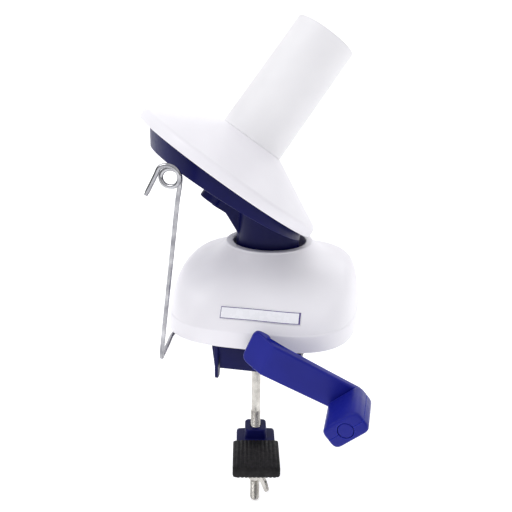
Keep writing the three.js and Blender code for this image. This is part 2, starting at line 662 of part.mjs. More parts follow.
function crankShaft() {
  return union(crankBar(SHAFT_R, -BORE_END + 0.4, -24.4), crankBar(2, -24.5, -23.6, 16));
}

function knobPin() {
  const face = ARM_FACE + GAP;
  return lathe([
    [0, ARM_FACE - ARM_THICK + 0.2], [2.1, ARM_FACE - ARM_THICK + 0.2], [2.1, face], [5.6, face],
    [5.6, face + 1.2], [KNOB_PIN_R - 0.6, face + 1.2], [KNOB_PIN_R - 0.6, face + KNOB_LENGTH - 4],
    [KNOB_PIN_R, face + KNOB_LENGTH - 4], [KNOB_PIN_R, face + KNOB_LENGTH + 1], [0, face + KNOB_LENGTH + 1],
  ], 28).translate(CRANK_LENGTH, 0, 0);
}

// One half of the grip; the parting plane holds the pin's axis.
function knobHalf(side) {
  const z0 = ARM_FACE + GAP + 1.5;
  const z1 = z0 + KNOB_LENGTH - 0.5;
  const ring = (z, grow) => roundedRectangle(
    -KNOB_LONG / 2 - grow, KNOB_LONG / 2 + grow, -KNOB_SHORT / 2 - grow, KNOB_SHORT / 2 + grow, 4 + grow)
    .getPoints(5).slice(0, -1).map((p) => new THREE.Vector3(p.x, p.y, z));
  const body = loft([ring(z0, -0.9), ring(z0 + 1, -0.1), ring(z1 - 1.2, -0.3), ring(z1 - 0.3, -0.75),
    ring(z1, -1.3)]);
  const keep = side > 0 ? block(-20, 20, 0.12, 20, 60, 120) : block(-20, 20, -20, -0.12, 60, 120);
  return cut(common(body, keep),
    bar(KNOB_PIN_R - 0.6 + GAP, 60, 120, 28),
    bar(KNOB_PIN_R + GAP, ARM_FACE + KNOB_LENGTH - 4, 120, 28))
    .rotateZ(KNOB_TURN).translate(CRANK_LENGTH, 0, 0);
}

// ----------------------------------------------------------------------- clamp

const nut = (z0, z1, across, boreR) =>
  cut(hexagon(across / Math.sqrt(3), z0, z1), bar(boreR, z0 - 1, z1 + 1, 20));
const washer = (r, z0, z1, boreR) => cut(bar(r, z0, z1, 24), bar(boreR, z0 - 1, z1 + 1, 20));
const rodNut = (z0, z1) => nut(z0, z1, 10, ROD_R).translate(0, ROD_Y, 0);

// Flanged bush between the collar's floor and the turret's tube.
const turretBush = () => union(
  washer(13, 31.3, 32.8, TUBE_R + GAP),
  washer(10, 27.2, 31.4, TUBE_R + GAP));

function clampRod() {
  return lathe([
    [0, ROD_BOTTOM], [ROD_R - 0.9, ROD_BOTTOM], [ROD_R, ROD_BOTTOM + 0.9], [ROD_R, THREAD_TOP],
    [ROD_R - 0.3, THREAD_TOP + 0.3], [ROD_R - 0.3, -5.4], [ROD_R - 0.8, -4.9], [0, -4.9],
  ], 24).translate(0, ROD_Y, 0);
}

// The jaw's own frame: the rod is at the origin and the jaw points along -Y.
function clampJaw() {
  const plateBottom = JAW_PLATE_TOP - JAW_PLATE_THICK;
  const plateFront = -BOOT_FRONT + BOOT_WALL + GAP;
  const plate = extrude(roundedRectangle(-JAW_HALF_X, JAW_HALF_X, plateFront, JAW_BOSS / 2, 2.4),
    plateBottom, JAW_PLATE_TOP);
  const hub = extrude(roundedRectangle(-JAW_BOSS / 2, JAW_BOSS / 2, -JAW_BOSS / 2, JAW_BOSS / 2, 3),
    JAW_HUB_BOTTOM, JAW_BOSS_TOP);
  return cut(union(plate, hub), bar(ROD_R + GAP, -120, 0, 24));
}

function jawBoot() {
  const half = JAW_HALF_X + GAP + BOOT_WALL;
  const top = JAW_PLATE_TOP + GAP + BOOT_WALL;
  const bottom = JAW_PLATE_TOP - JAW_PLATE_THICK - GAP - BOOT_WALL;
  const outer = extrude(roundedRectangle(-half, half, -BOOT_FRONT, -BOOT_BACK, 2.6), bottom, top);
  const pocket = block(-JAW_HALF_X - GAP, JAW_HALF_X + GAP, -BOOT_FRONT + BOOT_WALL, 0,
    JAW_PLATE_TOP - JAW_PLATE_THICK - GAP, JAW_PLATE_TOP + GAP);
  return cut(outer, pocket);
}

const WASHER_TOP = JAW_HUB_BOTTOM - GAP;
const NUT_TOP = WASHER_TOP - 1.5;

function wingNut() {
  const body = bar(4.6, NUT_TOP - 8, NUT_TOP, 28, 6);
  const wing = (side) => extrude(polygon([
    [3.2 * side, NUT_TOP - 1.2], [5.4 * side, NUT_TOP - 1.2], [10 * side, NUT_TOP - 5.6],
    [12.4 * side, NUT_TOP - 11], [11.8 * side, NUT_TOP - 12.8], [10 * side, NUT_TOP - 12.8],
    [6.8 * side, NUT_TOP - 8.6], [3.6 * side, NUT_TOP - 7.4],
  ]), -1.1, 1.1).rotateX(Math.PI / 2);
  return cut(union(body, wing(1), wing(-1)), bar(ROD_R + GAP, -120, -60, 24));
}

// ------------------------------------------------------------------ wire guide

// Radius of the coil at each quarter turn, opening out into the tail.
const COIL_RADII = [5.2, 4.5, 5, 4.5, 5.6, 6.6, 8];

function coilRadius(angle) {
  const place = angle / (Math.PI / 2);
  const k = Math.floor(place);
  return THREE.MathUtils.lerp(COIL_RADII[k], COIL_RADII[k + 1], place - k);
}

// Route of the wire: pivot pin, run under the base, elbow, mast, eye and tail.
function guideRoute() {
  const points = [];
  const pin = GUIDE_PIVOT;
  points.push(new THREE.Vector3(pin.x, pin.y, 9), new THREE.Vector3(pin.x, pin.y, 5),
    new THREE.Vector3(pin.x, pin.y, 1));
  points.push(new THREE.Vector3(pin.x - 0.6, pin.y - 0.9, -1.4),
    new THREE.Vector3(pin.x - 2.6, pin.y - 3.4, -2.4));
  points.push(new THREE.Vector3(-50.6, -39, -3.2), new THREE.Vector3(-50.2, -52, -4.8));
  points.push(new THREE.Vector3(-49.6, GUIDE_Y + 3, -6.4), new THREE.Vector3(-49.2, GUIDE_Y + 0.7, -5.9),
    new THREE.Vector3(-48.9, GUIDE_Y, -3.4));
  const eyeStart = EYE_CENTRE.clone().add(new THREE.Vector3(4.8, 0, 0));
  for (const share of [0.2, 0.45, 0.7, 0.9]) {
    points.push(new THREE.Vector3(-48.6, GUIDE_Y, 0).lerp(
      eyeStart.clone().add(new THREE.Vector3(-0.5, 0, -5)), share));
  }
  const sweep = THREE.MathUtils.degToRad(490);
  const steps = 30;
  for (let k = 0; k <= steps; k++) {
    const share = k / steps;
    const angle = sweep * share;
    const r = coilRadius(angle);
    points.push(EYE_CENTRE.clone().add(new THREE.Vector3(
      r * Math.cos(angle), -3.6 * share, r * Math.sin(angle))));
  }
  const end = points.at(-1);
  const heading = new THREE.Vector3(-0.47, 0, -0.88);
  for (const run of [5, 17]) points.push(end.clone().addScaledVector(heading, run));
  return new THREE.CatmullRomCurve3(points, false, 'centripetal');
}

function guideWire() {
  const section = new THREE.Shape();
  section.absarc(0, 0, WIRE_R, 0, 2 * Math.PI);
  const body = new THREE.ExtrudeGeometry(section, {
    steps: 76, bevelEnabled: false, extrudePath: guideRoute(), curveSegments: 4,
  });
  return toSolid(body).volume() < 0 ? flipped(toGeometry(toSolid(body))) : body;
}

const guideBush = () => cut(
  bar(WIRE_R + 1.35, 0.6, 9.2, 14),
  bar(WIRE_R + 0.25, 0, 20, 12)).translate(GUIDE_PIVOT.x, GUIDE_PIVOT.y, 0);

function frontLabel() {
  const face = block(-22.9, 22.9, -6, 6, -3.6, 3.6)
    .rotateX(-THREE.MathUtils.degToRad(37)).translate(4.6, -52.1, 18.8);
  return cut(common(face, domeForm(1)), domeForm(0.35));
}

// -------------------------------------------------------------------- assembly

const group = new THREE.Group();

const base = new THREE.Group();
base.add(
  piece('base_housing', baseHousing(), WHITE),
  piece('chassis_plate', chassisPlate(), NAVY),
  piece('clamp_bracket', clampBracket(), NAVY),
  piece('front_label', frontLabel(), LABEL),
  piece('turret_bush', turretBush(), BRONZE),
  piece('center_post', bar(POST_R, 4.3, sunTop + 4.2, 28), STEEL),
  piece('sun_gear', sunGear(), ACETAL),
  piece('post_nut', nut(sunTop + GAP, sunTop + 3.6, 7, POST_R + 0.12), STEEL),
  piece('thrust_washer', washer(5.6, 12.7, 13.5, POST_R + GAP), STEEL),
  piece('crank_bush_front', crankBush(-BARREL_FRONT + 0.2, -55), BRONZE),
  piece('crank_bush_rear', crankBush(REAR_BLOCK_FRONT + 0.2, REAR_BLOCK_BACK - 0.2), BRONZE),
  piece('idler_post', bar(IDLER_POST_R, 4.3, 27.2, 20).translate(0, IDLER_Y, 0), STEEL),
  piece('guide_bush', guideBush(), ACETAL),
  piece('clamp_rod', clampRod(), STEEL),
  piece('rod_nut_upper', rodNut(BRACKET_FLOOR + 4.8, BRACKET_FLOOR + 9.8), STEEL),
  piece('rod_nut_lower', rodNut(BRACKET_FLOOR - 3.5, BRACKET_FLOOR - GAP), STEEL));
cornerSigns.forEach(([sx, sy], i) => {
  const mesh = piece(`housing_screw_${i + 1}`, screw(3, 0.4, 1.5, 1.45, 9.6), STEEL);
  mesh.position.set(sx * SCREW_X, sy * SCREW_Y, 0);
  base.add(mesh);
});
bracketScrewPlaces.forEach(([x, y], i) => {
  const mesh = piece(`bracket_screw_${i + 1}`, screw(3, -5.4, -3.6, 1.45, 6.4), STEEL);
  mesh.position.set(x, y, 0);
  base.add(mesh);
});

const turret = new THREE.Group();
turret.rotation.z = LEAN_AZIMUTH;
turret.add(piece('turret_frame', turretFrame(), NAVY));
turret.add(piece('drive_gear', driveGear().rotateZ(-LEAN_AZIMUTH), ACETAL));

const leaningFrame = () => {
  const frame = new THREE.Group();
  frame.rotation.set(0, LEAN, LEAN_AZIMUTH, 'ZYX');
  frame.position.z = APEX_Z;
  return frame;
};
const axleFrame = leaningFrame();
axleFrame.add(
  piece('spool_axle', spoolAxle(), STEEL),
  piece('axle_nut', nut(-15.8, -12.2, 7, AXLE_R + 0.12), STEEL),
  piece('axle_washer', washer(6.4, -17.4, -16.2, AXLE_R + GAP), STEEL));

const spool = leaningFrame();
spool.add(
  piece('spool_cup', spoolCup(), WHITE),
  piece('spindle_tube', spindleTube(), MATT_WHITE),
  piece('planet_gear', planetGear(), ACETAL));

const crank = new THREE.Group();
crank.rotation.set(Math.PI / 2, 0, CRANK_ANGLE);
crank.position.set(CRANK_X, 0, CRANK_Z);
crank.add(piece('crank_arm', crankArm(), BRIGHT_BLUE), piece('knob_pin', knobPin(), BRIGHT_BLUE),
  piece('knob_half_upper', knobHalf(1), BRIGHT_BLUE), piece('knob_half_lower', knobHalf(-1), BRIGHT_BLUE));

const idler = piece('idler_gear', idlerGear(), ACETAL);
idler.position.y = IDLER_Y;

const drive = new THREE.Group();
drive.add(piece('crank_shaft', crankShaft(), STEEL), piece('crown_gear', crownGear(), ACETAL));

const jaw = new THREE.Group();
jaw.position.y = ROD_Y;
jaw.rotation.z = JAW_TURN;
const wings = piece('wing_nut', wingNut(), STEEL);
wings.rotation.z = THREE.MathUtils.degToRad(-49.5);
jaw.add(
  piece('clamp_jaw', clampJaw(), NAVY),
  piece('jaw_boot', jawBoot(), RUBBER),
  piece('clamp_washer', washer(7, NUT_TOP + GAP, WASHER_TOP, ROD_R + GAP), STEEL),
  wings);

group.add(base, turret, axleFrame, spool, idler, crank, drive, jaw);
group.add(piece('wire_guide', guideWire(), CHROME));

export default group;
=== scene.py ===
"""Hand-cranked yarn ball winder: detailed pieces, materials, light and camera."""

import json
import math

import bmesh
import bpy
from mathutils import Matrix, Vector
from mathutils.bvhtree import BVHTree


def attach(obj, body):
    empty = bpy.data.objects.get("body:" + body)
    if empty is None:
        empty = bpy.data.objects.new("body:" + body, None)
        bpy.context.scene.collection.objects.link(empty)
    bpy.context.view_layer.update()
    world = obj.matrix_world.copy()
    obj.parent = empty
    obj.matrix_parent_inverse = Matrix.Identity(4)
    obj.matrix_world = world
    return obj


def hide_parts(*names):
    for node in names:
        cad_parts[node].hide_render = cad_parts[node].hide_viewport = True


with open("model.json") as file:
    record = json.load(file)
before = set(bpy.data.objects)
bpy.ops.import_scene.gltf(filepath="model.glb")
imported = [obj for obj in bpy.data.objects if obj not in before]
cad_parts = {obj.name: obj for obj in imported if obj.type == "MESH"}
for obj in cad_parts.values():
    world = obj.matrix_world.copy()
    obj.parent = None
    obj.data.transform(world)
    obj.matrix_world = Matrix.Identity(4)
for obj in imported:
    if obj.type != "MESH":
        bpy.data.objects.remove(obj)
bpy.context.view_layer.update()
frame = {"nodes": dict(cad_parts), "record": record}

# ------------------------------------------------------------------ dimensions
# Millimetres, in the same frame as the CAD. +Z up, -Y towards the operator.

GAP = 0.3
BASE_HALF_X = 57.3
BASE_HALF_Y = 58
FRONT_SQUARENESS = 3.3
BACK_SQUARENESS = 3.1
BASE_SHIFT_X = -0.8
BAND_HEIGHT = 10.4
COLLAR_TOP = 48
COLLAR_R = 27
COLLAR_HOLE_R = 22.4
WALL = 2.4
WELL_FLOOR = 31
SEAT_STEP = 0.5
SCREW_SPOTS = [(38, 38), (-38, 38), (-38, -38), (38, -38)]

APEX_Z = 125.9
LEAN = math.radians(36)
LEAN_AZIMUTH = math.radians(24)
NECK_R = 18.3
NECK_FLARE_R = 20.4
NECK_BOTTOM = 33.2
TUBE_R = 8
PLATE_R = 54
PLATE_TOP_T = -43.4
PLATE_FLOOR_T = -52
PLATE_CENTRE = -27.2
UNDER_Z = 61.57
UNDER_TILT = math.radians(32.6)
BOSS_END_T = -64
AXLE_R = 3

RIM_R = 60.5
RIM_T = -42.7
SKIRT_T = -46.6
CONE_TOP_T = -20
SPINDLE_R0 = 20
SPINDLE_R1 = 19
SPINDLE_TOP_T = 53
SPINDLE_WALL = 2

CRANK_X = 6
CRANK_Z = 5.5
CRANK_ANGLE = math.radians(-22.8)
CRANK_LENGTH = 56.8
BARREL_FRONT = 63.4
SHAFT_R = 3
ARM_FACE = 74
ARM_THICK = 4.5
HUB_WIDTH = 20
HUB_END = 5.6
HUB_CORNER = 4
HUB_FOLD = 7.4
HUB_FACET = math.radians(30)
BORE_END = 66.8
TIP_WIDTH = 17.4
KNOB_LONG = 22.5
KNOB_SHORT = 13.4
KNOB_LENGTH = 27.5
KNOB_PIN_R = 4
KNOB_TURN = math.radians(62)

ROD_Y = -37.5
ROD_R = 3
ROD_BOTTOM = -114.5
THREAD_TOP = -49.5
BRACKET_HALF_X = 24.6
BOX_HALF_X = 19.5
BRACKET_FRONT = -50
BRACKET_BACK = -19.2
SUMP_FRONT = -33.2
SUMP_RIGHT = 26.2
BRACKET_FLOOR = -17.6
LUG_BOTTOM = -23.6
BLADE_X = 21
BRACKET_SPOTS = [(-30, -36), (30, -36), (-31, -25), (33, -25)]
EAR_ROOTS = [-18.5, 18.5, -18.5, 25.2]
JAW_TURN = math.radians(12.5)
WING_TURN = math.radians(-49.5)
JAW_PLATE_TOP = -67
JAW_PLATE_THICK = 3.2
JAW_HALF_X = 11.7
JAW_BOSS = 13
JAW_BOSS_TOP = -60.3
JAW_HUB_BOTTOM = -88.5
BOOT_BACK = 9.2
BOOT_FRONT = 38.6
BOOT_WALL = 1.7
WASHER_TOP = JAW_HUB_BOTTOM - GAP
NUT_TOP = WASHER_TOP - 1.5

WIRE_R = 1.25
GUIDE_PIVOT = Vector((-45, -30, 0))
GUIDE_Y = -66.5
EYE_CENTRE = Vector((-40.8, GUIDE_Y, 98.5))
COIL_RADII = [5.2, 4.5, 5, 4.5, 5.6, 6.6, 8]
COIL_SWEEP = math.radians(490)

UPRIGHT = Matrix.Identity(4)
TURRET = Matrix.Rotation(LEAN_AZIMUTH, 4, "Z")
LEANING = Matrix.Translation((0, 0, APEX_Z)) @ TURRET @ Matrix.Rotation(LEAN, 4, "Y")
CRANK = (Matrix.Translation((CRANK_X, 0, CRANK_Z)) @ Matrix.Rotation(math.pi / 2, 4, "X")
         @ Matrix.Rotation(CRANK_ANGLE, 4, "Z"))
ROD = Matrix.Translation((0, ROD_Y, 0))
JAW = ROD @ Matrix.Rotation(JAW_TURN, 4, "Z")
WING = JAW @ Matrix.Rotation(WING_TURN, 4, "Z")


# ------------------------------------------------------------- building blocks

def solid(points, faces):
    """A working mesh object in millimetres."""
    mesh = bpy.data.meshes.new("solid")
    mesh.from_pydata([tuple(p) for p in points], [], faces)
    work = bmesh.new()
    work.from_mesh(mesh)
    bmesh.ops.remove_doubles(work, verts=work.verts, dist=1e-4)
    bmesh.ops.recalc_face_normals(work, faces=work.faces)
    work.to_mesh(mesh)
    work.free()
    obj = bpy.data.objects.new("solid", mesh)
    bpy.context.scene.collection.objects.link(obj)
    return obj


def skin(rings, wrap=False):
    """Quads between neighbouring rings of equal length."""
    count = len(rings[0])
    faces = []
    for k in range(len(rings) if wrap else len(rings) - 1):
        lower, upper = k * count, ((k + 1) % len(rings)) * count
        for i in range(count):
            j = (i + 1) % count
            faces.append((lower + i, lower + j, upper + j, upper + i))
    return faces


def loft(rings):
    count = len(rings[0])
    last = (len(rings) - 1) * count
    faces = skin(rings)
    faces.append(tuple(range(count)))
    faces.append(tuple(range(last, last + count)))
    return solid([p for ring in rings for p in ring], faces)


def circle(radius, z, sides):
    angles = [2 * math.pi * i / sides for i in range(sides)]
    return [(radius * math.cos(a), radius * math.sin(a), z) for a in angles]


def bar(radius, z0, z1, sides=64):
    return loft([circle(radius, z0, sides), circle(radius, z1, sides)])


def lathe(profile, sides=96):
    rings = [circle(r, z, sides) for r, z in profile]
    return solid([p for ring in rings for p in ring], skin(rings, wrap=True))


def extrude(outline, z0, z1):
    return loft([[(x, y, z) for x, y in outline] for z in (z0, z1)])


def block(x0, x1, y0, y1, z0, z1):
    return extrude([(x0, y0), (x1, y0), (x1, y1), (x0, y1)], z0, z1)


def fillet(points, radius, steps=6):
    """A closed outline with its corners rounded; one radius, or one a corner."""
    radii = radius if isinstance(radius, (list, tuple)) else [radius] * len(points)
    out = []
    for k, r in enumerate(radii):
        corner = Vector(points[k])
        to_last = Vector(points[k - 1]) - corner
        to_next = Vector(points[(k + 1) % len(points)]) - corner
        angle = to_last.angle(to_next)
        if r <= 0 or angle > 3.1:
            out.append(tuple(corner))
            continue
        reach = min(r / math.tan(angle / 2), 0.48 * to_last.length, 0.48 * to_next.length)
        start = corner + to_last.normalized() * reach
        end = corner + to_next.normalized() * reach
        for i in range(steps + 1):
            t = i / steps
            out.append(tuple(start * (1 - t) ** 2 + corner * 2 * t * (1 - t) + end * t ** 2))
    return out


def rounded_box(x0, x1, y0, y1, radius, steps=6):
    return fillet([(x0, y0), (x1, y0), (x1, y1), (x0, y1)], radius, steps)


def moved(obj, matrix):
    obj.data.transform(matrix)
    return obj


def combined(operation, obj, tools):
    for tool in tools:
        step = obj.modifiers.new("step", "BOOLEAN")
        step.operation = operation
        step.solver = "EXACT"
        step.object = tool
    graph = bpy.context.evaluated_depsgraph_get()
    mesh = bpy.data.meshes.new_from_object(obj.evaluated_get(graph))
    obj.modifiers.clear()
    obj.data = mesh
    for tool in tools:
        bpy.data.objects.remove(tool)
    return obj


def cut(obj, *tools):
    return combined("DIFFERENCE", obj, tools)


def union(obj, *tools):
    return combined("UNION", obj, tools)


def common(obj, *tools):
    return combined("INTERSECT", obj, tools)


def tidy(obj):
    """Merge the flat faces and straight edges that cuts leave behind."""
    work = bmesh.new()
    work.from_mesh(obj.data)
    bmesh.ops.remove_doubles(work, verts=work.verts, dist=2e-3)
    bmesh.ops.dissolve_limit(work, angle_limit=math.radians(0.4), verts=work.verts, edges=work.edges)
    work.to_mesh(obj.data)
    work.free()
    return obj


def place(obj, name, body, slot, replaces=(), at=UPRIGHT, bevel=0, sharp=35):
    """Turn a working mesh into a finished piece, in metres, riding on its body."""
    obj.name = name
    obj.data.name = name
    obj.data.transform(Matrix.Scale(0.001, 4) @ at)
    obj.data.shade_smooth()
    obj.data.set_sharp_from_angle(angle=math.radians(sharp))
    obj.data.materials.clear()
    obj.data.materials.append(finishes[slot])
    if bevel:
        edge = obj.modifiers.new("edges", "BEVEL")
        edge.width = bevel * 0.001
        edge.segments = 3
        edge.limit_method = "ANGLE"
        edge.angle_limit = math.radians(sharp)
        edge.harden_normals = True
        edge.use_clamp_overlap = False
    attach(obj, body)
    if replaces:
        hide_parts(*replaces)
    return obj


# ------------------------------------------------------------------- materials

class Surface:
    """Small helper that wires one node-based material."""

    def __init__(self, name):
        self.material = bpy.data.materials.new(name)
        self.material.use_nodes = True
        tree = self.material.node_tree
        self.nodes = tree.nodes
        self.links = tree.links
        self.shader = self.nodes["Principled BSDF"]
        self.coords = self.nodes.new("ShaderNodeTexCoord")

    def noise(self, scale, detail=3.0, stretch=(1, 1, 1)):
        mapping = self.nodes.new("ShaderNodeMapping")
        mapping.inputs["Scale"].default_value = stretch
        self.links.new(self.coords.outputs["Object"], mapping.inputs["Vector"])
        node = self.nodes.new("ShaderNodeTexNoise")
        node.inputs["Scale"].default_value = scale
        node.inputs["Detail"].default_value = detail
        self.links.new(mapping.outputs["Vector"], node.inputs["Vector"])
        return node.outputs["Fac"]

    def spread(self, value, low, high, start=0.3, end=0.7):
        node = self.nodes.new("ShaderNodeMapRange")
        node.inputs["From Min"].default_value = start
        node.inputs["From Max"].default_value = end
        node.inputs["To Min"].default_value = low
        node.inputs["To Max"].default_value = high
        self.links.new(value, node.inputs["Value"])
        return node.outputs["Result"]

    def mix(self, factor, first, second):
        node = self.nodes.new("ShaderNodeMix")
        node.data_type = "RGBA"
        self.links.new(factor, node.inputs["Factor"])
        for socket, value in (("A", first), ("B", second)):
            target = [s for s in node.inputs if s.name == socket and s.type == "RGBA"][0]
            if isinstance(value, tuple):
                target.default_value = (*value, 1)
            else:
                self.links.new(value, target)
        return [s for s in node.outputs if s.type == "RGBA"][0]

    def edge_highlight_mask(self, radius):
        """Near 1 along outside edges, where the colour is lightened as a painted highlight."""
        bevel = self.nodes.new("ShaderNodeBevel")
        bevel.samples = 4
        bevel.inputs["Radius"].default_value = radius
        geometry = self.nodes.new("ShaderNodeNewGeometry")
        dot = self.nodes.new("ShaderNodeVectorMath")
        dot.operation = "DOT_PRODUCT"
        self.links.new(bevel.outputs["Normal"], dot.inputs[0])
        self.links.new(geometry.outputs["Normal"], dot.inputs[1])
        return self.spread(dot.outputs["Value"], 1.0, 0.0, 0.86, 0.995)

    def bump(self, *layers):
        """Layers are (height, strength, distance in metres)."""
        normal = None
        for height, strength, distance in layers:
            node = self.nodes.new("ShaderNodeBump")
            node.inputs["Strength"].default_value = strength
            node.inputs["Distance"].default_value = distance
            self.links.new(height, node.inputs["Height"])
            if normal is not None:
                self.links.new(normal, node.inputs["Normal"])
            normal = node.outputs["Normal"]
        self.links.new(normal, self.shader.inputs["Normal"])

    def feed(self, socket, value):
        self.links.new(value, self.shader.inputs[socket])


def moulded_plastic(name, dark, light, painted_edge_highlight, rough, grain=0.25, specular=0.5):
    s = Surface(name)
    tone = s.mix(s.spread(s.noise(26), 0, 1), dark, light)
    # Outside edges blend towards the lighter third colour as a painted highlight.
    s.feed("Base Color", s.mix(s.edge_highlight_mask(0.0007), tone, painted_edge_highlight))
    s.feed("Roughness", s.spread(s.noise(420, 4), rough - 0.05, rough + 0.07))
    s.bump((s.noise(60, 2), 0.12, 0.0008), (s.noise(3200, 2), grain, 0.00005))
    s.shader.inputs["IOR"].default_value = 1.48
    s.shader.inputs["Specular IOR Level"].default_value = specular
    return s.material


def plated_metal(name, dark, light, rough, brush, stretch):
    s = Surface(name)
    s.shader.inputs["Metallic"].default_value = 1
    s.feed("Base Color", s.mix(s.spread(s.noise(150, 5), 0, 1), dark, light))
    s.feed("Roughness", s.spread(s.noise(900, 4, stretch), rough - 0.06, rough + 0.12))
    s.bump((s.noise(1500, 3, stretch), brush, 0.00004), (s.noise(90, 2), 0.08, 0.0004))
    return s.material


def rubber(name):
    s = Surface(name)
    dark, light = (0.004, 0.0035, 0.004), (0.013, 0.0115, 0.0125)
    s.feed("Base Color", s.mix(s.spread(s.noise(240, 5), 0, 1), dark, light))
    s.feed("Roughness", s.spread(s.noise(700, 4), 0.5, 0.74))
    s.bump((s.noise(2600, 4), 0.4, 0.00008))
    s.shader.inputs["Specular IOR Level"].default_value = 0.22
    return s.material


def label_film(name, ink, paper):
    s = Surface(name)
    s.feed("Base Color", s.mix(s.spread(s.noise(40, 1), 0, 1), ink, paper))
    s.feed("Roughness", s.spread(s.noise(300, 3), 0.2, 0.32))
    s.bump((s.noise(900, 2), 0.1, 0.00003))
    return s.material


# The third colour of each plastic is its painted edge highlight.
finishes = {
    "white_plastic": moulded_plastic("white_plastic", (0.84, 0.82, 0.86), (0.885, 0.87, 0.905),
                                     (0.9, 0.89, 0.92), 0.36),
    "spindle_plastic": moulded_plastic("spindle_plastic", (0.82, 0.81, 0.83), (0.88, 0.87, 0.885),
                                       (0.9, 0.9, 0.9), 0.5, 0.35),
    "cobalt_plastic": moulded_plastic("cobalt_plastic", (0.0055, 0.0085, 0.19), (0.009, 0.0135, 0.26),
                                      (0.022, 0.036, 0.46), 0.34, specular=0.22),
    "navy_plastic": moulded_plastic("navy_plastic", (0.003, 0.0035, 0.058), (0.005, 0.006, 0.082),
                                    (0.013, 0.015, 0.14), 0.38, specular=0.16),
    "natural_acetal": moulded_plastic("natural_acetal", (0.70, 0.68, 0.61), (0.78, 0.76, 0.70),
                                      (0.82, 0.8, 0.75), 0.42),
    "plated_steel": plated_metal("plated_steel", (0.42, 0.40, 0.37), (0.66, 0.64, 0.60),
                                 0.22, 0.1, (1, 1, 0.12)),
    "guide_chrome": plated_metal("guide_chrome", (0.24, 0.24, 0.26), (0.52, 0.52, 0.54),
                                 0.13, 0.06, (1, 1, 0.3)),
    "bush_bronze": plated_metal("bush_bronze", (0.42, 0.27, 0.11), (0.58, 0.40, 0.18),
                                0.38, 0.3, (1, 1, 1)),
    "boot_rubber": rubber("boot_rubber"),
    "label_film": label_film("label_film", (0.89, 0.89, 0.93), (0.91, 0.91, 0.95)),
}
label_ink = label_film("label_ink", (0.05, 0.03, 0.16), (0.09, 0.06, 0.24))


# ------------------------------------------------------------------------ base

PLAN_POINTS = 168


def plan_radius(angle, inset):
    n = FRONT_SQUARENESS + (BACK_SQUARENESS - FRONT_SQUARENESS) * (0.5 + 0.5 * math.sin(angle))
    across = abs(math.cos(angle)) / (BASE_HALF_X - inset)
    along = abs(math.sin(angle)) / (BASE_HALF_Y - inset)
    return (across ** n + along ** n) ** (-1 / n)


def plan_ring(height, inset, share=0.0, collar=COLLAR_R):
    ring = []
    for i in range(PLAN_POINTS):
        angle = 2 * math.pi * (i + 0.5) / PLAN_POINTS
        r = (1 - share) * plan_radius(angle, inset) + share * collar
        z = height(angle) if callable(height) else height
        ring.append((r * math.cos(angle) + (1 - share) * BASE_SHIFT_X, r * math.sin(angle), z))
    return ring


def flare(share, angle):
    """The dome's rise: full at the sides and back, gentler at the front."""
    front = max(0.0, -math.sin(angle)) ** 2
    shoulder = (1 - front) * 0.64 * (1 - (1 - share) ** 11) + front * 0.45 * (1 - (1 - share) ** 2)
    return shoulder + (0.2 + 0.2 * front) * share + (0.16 - 0.01 * front) * share ** 6


def dome_shares(steps=46):
    """Places up the dome, closest together at the crease and the collar."""
    turn = (steps * 0.6 - 1) / steps
    start = turn ** 1.7
    shares = []
    for k in range(steps + 1):
        along = k / steps
        if k < steps * 0.6:
            shares.append(along ** 1.7)
        else:
            left = 1 - (along - turn) / (1 - turn)
            shares.append(start + (1 - start) * (1 - left ** 1.25))
    return shares


def housing():
    """Open shell: hollow below, with a well inside the collar."""
    rise = COLLAR_TOP - 0.8 - BAND_HEIGHT
    rings = [plan_ring(6, WALL), plan_ring(0.2, WALL), plan_ring(0, WALL - 0.2), plan_ring(0, 0.5),
             plan_ring(0.15, 0.12), plan_ring(0.5, 0), plan_ring(BAND_HEIGHT - 1.4, 0.42),
             plan_ring(BAND_HEIGHT - 0.8, 0.45), plan_ring(BAND_HEIGHT - 0.45, 0.52),
             plan_ring(BAND_HEIGHT - 0.2, 0.66)]
    for share in dome_shares():
        rings.append(plan_ring(lambda a, s=share: BAND_HEIGHT + rise * flare(s, a), 0.8, share))
    lip = [(COLLAR_R - 0.05, COLLAR_TOP - 0.45), (COLLAR_R - 0.3, COLLAR_TOP - 0.12),
           (COLLAR_R - 0.8, COLLAR_TOP), (COLLAR_HOLE_R + 0.7, COLLAR_TOP),
           (COLLAR_HOLE_R + 0.2, COLLAR_TOP - 0.2),
           (COLLAR_HOLE_R, COLLAR_TOP - 0.7), (COLLAR_HOLE_R, WELL_FLOOR + 0.8),
           (COLLAR_HOLE_R - 0.8, WELL_FLOOR), (10.4, WELL_FLOOR), (10.3, WELL_FLOOR - 0.4), (10.3, 24)]
    rings += [plan_ring(z, 0, 1, r) for r, z in lip]
    obj = solid([p for ring in rings for p in ring], skin(rings))
    return place(obj, "housing", "base", "white_plastic", ["base_housing"], sharp=50)


